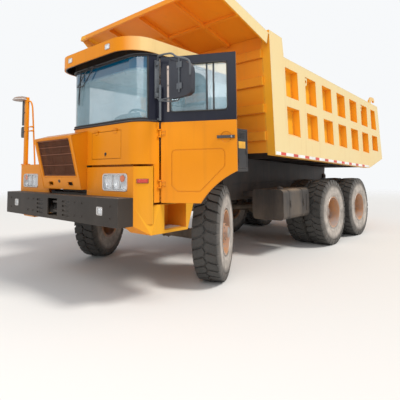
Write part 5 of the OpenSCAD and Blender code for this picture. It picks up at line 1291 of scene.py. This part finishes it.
def makeTankTrim(look):
    x0, x1, y, z0, z1 = look["tall"]
    bm = bmesh.new()
    px0, px1, pz0, pz1 = look["plate"]
    addBox(bm, (px0, px1, y + 0.0002, y + 0.003, pz0, pz1), 0.0012)
    finishPiece("warningPlate", bm, "amberPlate")

    bm = bmesh.new()
    addTube(bm, facingY(y + 0.001, x0 + 0.022, x1 - 0.022, z0 + 0.025, z1 - 0.025), 0.005, 0.02, closed=True)
    for i in range(5):
        addBox(bm, (x0 + 0.070, x1 - 0.070, y - 0.001, y + 0.006, 2.075 + i * 0.018, 2.083 + i * 0.018), 0.002)
    for z in (1.70, 2.06):
        addBox(bm, (x1 - 0.036, x1 - 0.016, y - 0.001, y + 0.014, z, z + 0.06), 0.004)
    addBox(bm, (x0 + 0.016, x0 + 0.050, y - 0.001, y + 0.012, 1.82, 1.90), 0.005)
    rx0, rx1, ry, rz0, rz1 = look["rightBox"]
    addTube(bm, facingY(ry - 0.001, rx0 + 0.03, rx1 - 0.03, rz0 + 0.03, rz1 - 0.03), 0.005, 0.02, closed=True)
    for x in (rx0 + 0.14, rx1 - 0.18):
        addBox(bm, (x, x + 0.04, ry - 0.013, ry + 0.001, rz1 - 0.10, rz1 - 0.02), 0.005)
    finishPiece("boxTrim", bm, "chassis_paint")

    bm = bmesh.new()
    x0, x1, y0, y1, z0, z1, corner = look["fuel"]
    for x in look["straps"]:
        shape = roundRect(x - 0.028, (y0 + y1) / 2, (z0 + z1) / 2, y1 - y0 + 0.008, z1 - z0 + 0.008, corner + 0.004)
        addSlab(bm, shape, (0.056, 0, 0))
        addBox(bm, (x - 0.018, x + 0.018, y1 + 0.003, y1 + 0.020, 0.925, 0.985), 0.005)
        addTube(bm, [(x, y1 + 0.014, 0.885), (x, y1 + 0.014, 1.020)], 0.006)
    for x in (x0 + 0.003, x1 - 0.003):
        edge = roundRect(x, (y0 + y1) / 2, (z0 + z1) / 2, y1 - y0 - 0.004, z1 - z0 - 0.004, corner)
        addTube(bm, edge, 0.008, 0.0, closed=True)
    x, y, z = look["cap"]
    for dx, dy in around(20, 0.054):
        addRod(bm, (x + dx, y + dy, z - 0.030), (x + dx, y + dy, z - 0.002), 0.0055, 8)
    addBox(bm, (x - 0.040, x + 0.040, y - 0.008, y + 0.008, z - 0.001, z + 0.016), 0.005)
    # sight glass guard on the outer face
    addBox(bm, (x0 + 0.085, x0 + 0.125, y1 - 0.001, y1 + 0.010, 0.790, 1.110), 0.004)
    for x in look["airStraps"]:
        for z in look["airZ"]:
            inner, outer = look["airRadius"] - 0.002, look["airRadius"] + 0.004
            ring = [(inner, -0.018), (outer, -0.018), (outer, 0.018), (inner, 0.018)]
            spinRing(bm, ring, (1, 0, 0), 40, Matrix.Translation((x, look["airY"], z)))
            addBolt(bm, (x, look["airY"] - look["airRadius"] - 0.003, z), (0, -1, 0), 0.008, 0.010)
    for x, out in zip(look["airEnds"], (-1, 1)):
        for z in look["airZ"]:
            dome = [(r, out * high) for r, high in look["airDome"]]
            spinRing(bm, dome, (1, 0, 0), 32, Matrix.Translation((x, look["airY"], z)))
            addBolt(bm, (x + out * 0.019, look["airY"], z), (out, 0, 0), 0.012, 0.016)
    finishPiece("tankTrim", bm, "chassis_paint")


makeTankTrim(tanks)


# Running gear: U-bolts, shock absorbers, brake chambers and rows of frame bolts

gear = {
    # U-bolts over the front springs and the bogie's: middle, how far ahead and aside, low, high, rod and corner, nuts and plate
    "clamps": [
        {"x": 0.0, "y": 0.430, "ahead": 0.052, "aside": 0.053, "low": 0.535, "high": 0.874, "rod": 0.0095, "corner": 0.022,
            "nutZ": 0.557, "nut": (0.015, 0.016), "plate": (-0.075, 0.075, -0.070, 0.070, 0.548, 0.560), "bevel": 0.003},
        {"x": -4.470, "y": 0.640, "ahead": 0.072, "aside": 0.068, "low": 0.745, "high": 1.066, "rod": 0.012, "corner": 0.028,
            "nutZ": 0.775, "nut": (0.019, 0.020), "plate": (-0.105, 0.105, -0.088, 0.088, 0.772, 0.792), "bevel": 0.004},
    ],
    "axles": (-3.675, -5.265),
    "chamberY": 0.790, "chamberX": 0.205, "chamberZ": 0.800, "chamberRadius": 0.074, "railY": 0.4755,
    "boltGroups": (0.90, -1.10, -2.55, -3.25, -4.05, -4.90, -5.70),
}


def makeGear(look):
    bm = bmesh.new()
    for side in (1, -1):
        for clamp in look["clamps"]:
            y, low, high, aside = side * clamp["y"], clamp["low"], clamp["high"], clamp["aside"]
            for x in (clamp["x"] - clamp["ahead"], clamp["x"] + clamp["ahead"]):
                rod = [(x, y - aside, low), (x, y - aside, high), (x, y + aside, high), (x, y + aside, low)]
                addTube(bm, rod, clamp["rod"], clamp["corner"])
                for dy in (-aside, aside):
                    addBolt(bm, (x, y + dy, clamp["nutZ"]), (0, 0, -1), *clamp["nut"])
            addBoxAt(bm, (clamp["x"], y, 0), clamp["plate"], clamp["bevel"])
    finishPiece("uBolts", bm, "axle_paint")

    bm = bmesh.new()
    for side in (1, -1):
        y = side * 0.545
        addRod(bm, (-0.115, y, 0.640), (-0.175, y, 0.860), 0.027, 24)
        addRod(bm, (-0.170, y, 0.840), (-0.230, y, 1.060), 0.034, 24)
        addTube(bm, [(-0.115, side * 0.505, 0.640), (-0.115, side * 0.580, 0.640)], 0.022)
        addTube(bm, [(-0.232, side * 0.470, 1.068), (-0.232, side * 0.580, 1.068)], 0.022)
    finishPiece("shockAbsorbers", bm, "axle_paint")

    bm = bmesh.new()
    radius = look["chamberRadius"]
    can = [(0.0002, 0.084), (radius * 0.6, 0.082), (radius * 0.9, 0.066), (radius, 0.020), (radius * 1.12, 0.010),
        (radius * 1.12, -0.008), (radius, -0.016), (radius * 0.94, -0.060), (radius * 0.55, -0.078), (0.022, -0.082),
        (0.022, -0.100), (0.0002, -0.100)]
    for axleX in look["axles"]:
        for side in (1, -1):
            place = (axleX + look["chamberX"], side * look["chamberY"], look["chamberZ"])
            spinRing(bm, can, (1, 0, 0), 32, Matrix.Translation(place))
            x, y, z = place
            addRod(bm, (x - 0.095, y, z), (x - 0.215, y, z), 0.010, 12)
            addBox(bm, (x - 0.235, x - 0.205, y - 0.016, y + 0.016, z - 0.165, z + 0.022), 0.006)
            addBox(bm, (x - 0.112, x - 0.098, y - 0.060, y + 0.060, z - 0.110, z + 0.050), 0.004)
    finishPiece("brakeChambers", bm, "chassis_paint")

    bm = bmesh.new()
    for x in look["boltGroups"]:
        for dx in (-0.045, 0.045):
            for z in (1.055, 1.130, 1.265):
                for side in (1, -1):
                    addBolt(bm, (x + dx, side * look["railY"], z), (0, side, 0), 0.011, 0.011)
    finishPiece("frameBolts", bm, "chassis_paint")


makeGear(gear)


# Hoist collars and tail lamps

hoist = {"x": -0.700, "barrelTop": 3.360, "sleeveTop": 3.390, "barrel": 0.125, "sleeve": 0.095, "rod": 0.068}
for name, top, inner, outer, body in (
        ("barrelCollar", hoist["barrelTop"], hoist["sleeve"] + 0.001, hoist["barrel"] + 0.011, "hoist_barrel"),
        ("sleeveCollar", hoist["sleeveTop"], hoist["rod"] + 0.001, hoist["sleeve"] - 0.001, "hoist_sleeve")):
    bm = bmesh.new()
    low = top - 0.034 if body == "hoist_barrel" else top - 0.002
    ring = [(inner, low), (outer, low), (outer, top + 0.002), (outer - 0.006, top + 0.008), (inner, top + 0.008)]
    spinRing(bm, ring, (0, 0, 1), 48, Matrix.Translation((hoist["x"], 0, 0)))
    for x, y in around(6, (inner + outer) / 2):
        addBolt(bm, (hoist["x"] + x, y, top + 0.008), (0, 0, 1), 0.005, 0.006)
    finishPiece(name, bm, "chassis_paint", body=body)

tailLamp = {"x": -6.140, "y": 0.420, "z": 1.255, "width": 0.190, "height": 0.098, "depth": 0.040}


def makeTailLamps(look):
    shells, reds, ambers = bmesh.new(), bmesh.new(), bmesh.new()
    for side in (1, -1):
        y, z = side * look["y"], look["z"]
        half = look["width"] / 2
        face, lensTall = look["x"] - look["depth"], look["height"] - 0.018
        addSlab(shells, roundRect(face, y, z, look["width"], look["height"], 0.018), (look["depth"] - 0.0005, 0, 0))
        for bm, out, wide in ((reds, -0.36, 1.12), (ambers, 0.60, 0.68)):
            lens = roundRect(face - 0.006, y + side * half * out, z, half * wide, lensTall, 0.012)
            addSlab(bm, lens, (0.0065, 0, 0))
        for dy in (-half + 0.006, half - 0.006):
            addBolt(shells, (face, y + dy, z), (-1, 0, 0), 0.003, 0.004)
    finishPiece("tailLampShells", shells, "dark_plastic", bevel=0.003)
    finishPiece("tailLampReds", reds, "redLens")
    finishPiece("tailLampAmbers", ambers, "amber")


makeTailLamps(tailLamp)
print("chassis trim made")


# Cab inside: seats with fabric cushions, headliner, mat and instruments

seats = {
    "rows": ((1.120, 0.500, "Left"), (0.420, 0.440, "Right")), "cushion": (0.130, 0.640, 1.850, 1.980),
    "back": ((0.130, 1.985), (0.258, 1.985), (0.180, 2.636), (0.072, 2.636)), "shrink": 0.012, "round": 0.034, "voxel": 0.008,
    "cap": 0.014, "pressure": 4.0, "frames": 20,
}


# A closed rounded block with the given outline in XZ, as a fine even mesh
def softBlock(name, outline, y0, y1, look):
    middle = sum((Vector((x, 0, z)) for x, z in outline), Vector()) / len(outline)
    bm = bmesh.new()
    points = []
    for x, z in outline:
        p = Vector((x, 0, z))
        inward = (middle - p).normalized() * look["shrink"]
        points.append((p.x + inward.x, y0 + look["shrink"], p.z + inward.z))
    addSlab(bm, points, (0, y1 - y0 - 2 * look["shrink"], 0))
    bmesh.ops.bevel(bm, geom=list(bm.edges), offset=look["round"], offset_type="OFFSET", segments=4, profile=0.5,
        affect="EDGES", material=-1, clamp_overlap=True)
    bmesh.ops.recalc_face_normals(bm, faces=bm.faces)
    mesh = bpy.data.meshes.new(name)
    bm.to_mesh(mesh)
    bm.free()
    block = bpy.data.objects.new(name, mesh)
    scene.collection.objects.link(block)
    remesh = block.modifiers.new("remesh", "REMESH")
    remesh.mode = "VOXEL"
    remesh.voxel_size = look["voxel"]
    fine = bpy.data.meshes.new_from_object(block.evaluated_get(bpy.context.evaluated_depsgraph_get()))
    block.modifiers.clear()
    block.data = fine
    return block


def inflate(blocks, look):
    starts = {}
    for block in blocks:
        starts[block.name] = [v.co.copy() for v in block.data.vertices]
        cloth = block.modifiers.new("cloth", "CLOTH")
        cloth.settings.use_pressure = True
        cloth.settings.uniform_pressure_force = look["pressure"]
        cloth.settings.effector_weights.gravity = 0
        cloth.settings.quality = 4
    for frameNumber in range(1, look["frames"] + 1):
        scene.frame_set(frameNumber)
    graph = bpy.context.evaluated_depsgraph_get()
    for block in blocks:
        swollen = bpy.data.meshes.new_from_object(block.evaluated_get(graph))
        for vertex, start in zip(swollen.vertices, starts[block.name]):
            moved = vertex.co - start
            if moved.length > look["cap"]:
                vertex.co = start + moved.normalized() * look["cap"]
        block.modifiers.clear()
        block.data = swollen
    scene.frame_set(1)


# Sewn channels: verts near a line sink in, and a flat foot where the block rests
def sewBlock(block, lines, depth, width, floorZ, facing):
    facing = Vector(facing)
    normals = [v.normal.copy() for v in block.data.vertices]
    for vertex, normal in zip(block.data.vertices, normals):
        if normal.dot(facing) > 0.3:
            near = min(abs(vertex.co[axis] - place) for axis, place in lines)
            vertex.co -= facing * depth * math.exp(-(near / width) ** 2)
        vertex.co.z = max(vertex.co.z, floorZ)


def makeSeats(look):
    x0, x1, z0, z1 = look["cushion"]
    blocks = []
    for y, width, side in look["rows"]:
        cushion = [(x0, z0), (x1, z0), (x1, z1), (x0, z1)]
        blocks.append(softBlock("seatCushion" + side, cushion, y - width / 2, y + width / 2, look))
        blocks.append(softBlock("seatBack" + side, look["back"], y - width / 2, y + width / 2, look))
    inflate(blocks, look)
    for block, (y, width, side) in zip(blocks, [row for row in look["rows"] for _ in range(2)]):
        sides = [(1, y - width * 0.27), (1, y + width * 0.27)]
        if block.name.startswith("seatCushion"):
            sewBlock(block, sides + [(0, x0 + 0.13 * k) for k in (1, 2, 3)], 0.009, 0.009, z0 + 0.001, (0, 0, 1))
        else:
            sewBlock(block, sides + [(2, 1.985 + 0.13 * k) for k in (1, 2, 3, 4)], 0.009, 0.009, 1.9805, (0.98, 0, 0.12))
        block.data.materials.clear()
        block.data.materials.append(finish["seat_fabric"])
        for face in block.data.polygons:
            face.use_smooth = True
        smoother = block.modifiers.new("smoother", "SUBSURF")
        smoother.levels = smoother.render_levels = 1
        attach(block, "root")
        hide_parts("seats")

    bm = bmesh.new()
    for y, width, side in look["rows"]:
        half = width / 2
        addBox(bm, (0.190, 0.550, y - half + 0.070, y + half - 0.070, 1.7055, 1.770), 0.012)
        addBox(bm, (0.160, 0.600, y - half + 0.030, y + half - 0.030, 1.826, 1.8505), 0.010)
        for x in (0.250, 0.500):
            addTube(bm, [(x - 0.08, y - half + 0.09, 1.766), (x + 0.08, y - half + 0.09, 1.830)], 0.012)
            addTube(bm, [(x + 0.08, y + half - 0.09, 1.766), (x - 0.08, y + half - 0.09, 1.830)], 0.012)
        right, left = y - half + 0.05, y + half - 0.05
        addSlab(bm, [(0.118, right, 1.90), (0.118, left, 1.90), (0.062, left, 2.58), (0.062, right, 2.58)], (-0.012, 0, -0.001))
        addTube(bm, [(0.45, y + half + 0.012, 1.85), (0.58, y + half + 0.012, 1.86)], 0.009)
    finishPiece("seatBases", bm, "dark_plastic", replaces=["seats"], bevel=0.002)


makeSeats(seats)
print("seats made")


inside = {
    "wallRear": -0.205, "wallRight": 0.060, "wallLeft": 1.540, "roofBox": (0.30, 0.62, 0.62, 0.98, 2.925, 2.957),
    "headliner": [(-0.205, 0.048, 2.955), (1.500, 0.048, 2.955), (1.500, 1.556, 2.955), (-0.205, 1.556, 2.955)],
    "sunShade": (1.18, 1.24, 0.85, 1.45, 2.880, 2.956), "floorZ": 1.7055, "matFront": 0.60, "matRibs": 18, "matRibPitch": 0.08,
    "matRib": (0.575, 0.598, 0.09, 0.13, 1.711, 1.716), "linerLow": (-0.209, -0.190, 0.060, 1.540, 1.80, 2.250),
    "linerPosts": [(-0.209, -0.192, 0.060, 0.240, 2.256, 2.940), (-0.209, -0.192, 1.360, 1.540, 2.256, 2.940)],
    "hood": [(1.350, 0.95, 2.222), (1.350, 0.95, 2.300), (1.372, 0.95, 2.315), (1.470, 0.95, 2.262), (1.470, 0.95, 2.190)],
    "lever": [(0.84, 0.77, 1.260), (0.86, 0.77, 1.60), (0.82, 0.77, 1.950)], "knob": (0.82, 0.77, 1.965), "knobRadius": 0.034,
    "switches": 6, "switchPitch": 0.065, "switch": (1.222, 1.232, 0.34, 0.385, 2.040, 2.075),
    "dials": ((1.03, 0.034), (1.13, 0.040), (1.23, 0.034)), "dialX": 1.352, "dialZ": 2.262,
}


def makeInside(look):
    liner, mat, walls, hood, dials = (bmesh.new() for _ in range(5))
    addSlab(liner, softPath(look["headliner"], 0.20, closed=True), (0, 0, 0.012))
    addBox(liner, look["roofBox"], 0.012)
    addBox(liner, look["sunShade"], 0.010)

    x0, x1, y0, y1, z = (look[k] for k in ("wallRear", "matFront", "wallRight", "wallLeft", "floorZ"))
    addSlab(mat, [(x0, y0, z), (x1, y0, z), (x1, y1, z), (x0, y1, z)], (0, 0, 0.007))
    for i in range(look["matRibs"]):
        addBoxAt(mat, (0, i * look["matRibPitch"], 0), look["matRib"], 0.002)
    for box in [look["linerLow"]] + look["linerPosts"]:
        addBox(walls, box, 0.008)

    # instrument hood with three dials, a row of switches and the gear lever
    addSlab(hood, look["hood"], (0, 0.36, 0))
    addTube(hood, look["lever"], 0.013, 0.10)
    knob = Matrix.Translation(look["knob"])
    bmesh.ops.create_uvsphere(hood, u_segments=18, v_segments=12, radius=look["knobRadius"], matrix=knob)
    for i in range(look["switches"]):
        addBoxAt(hood, (0, i * look["switchPitch"], 0), look["switch"], 0.003)
    x, z = look["dialX"], look["dialZ"]
    for y, radius in look["dials"]:
        addRod(dials, (x, y, z), (x - 0.007, y, z), radius, 32, radius * 0.95)
        addRod(dials, (x - 0.0068, y, z), (x - 0.0095, y, z), 0.006, 12)
        addBoxAt(dials, (x, y, z), (-0.0092, -0.0075, -0.0015, 0.0015, 0, radius * 0.8))
    finishPiece("headliner", liner, "headliner")
    finishPiece("floorMat", mat, "floorMat")
    finishPiece("cabLiner", walls, "cabTrim")
    finishPiece("instrumentHood", hood, "cabTrim", bevel=0.004)
    finishPiece("dials", dials, "paleBezel")


makeInside(inside)
print("cab inside made")
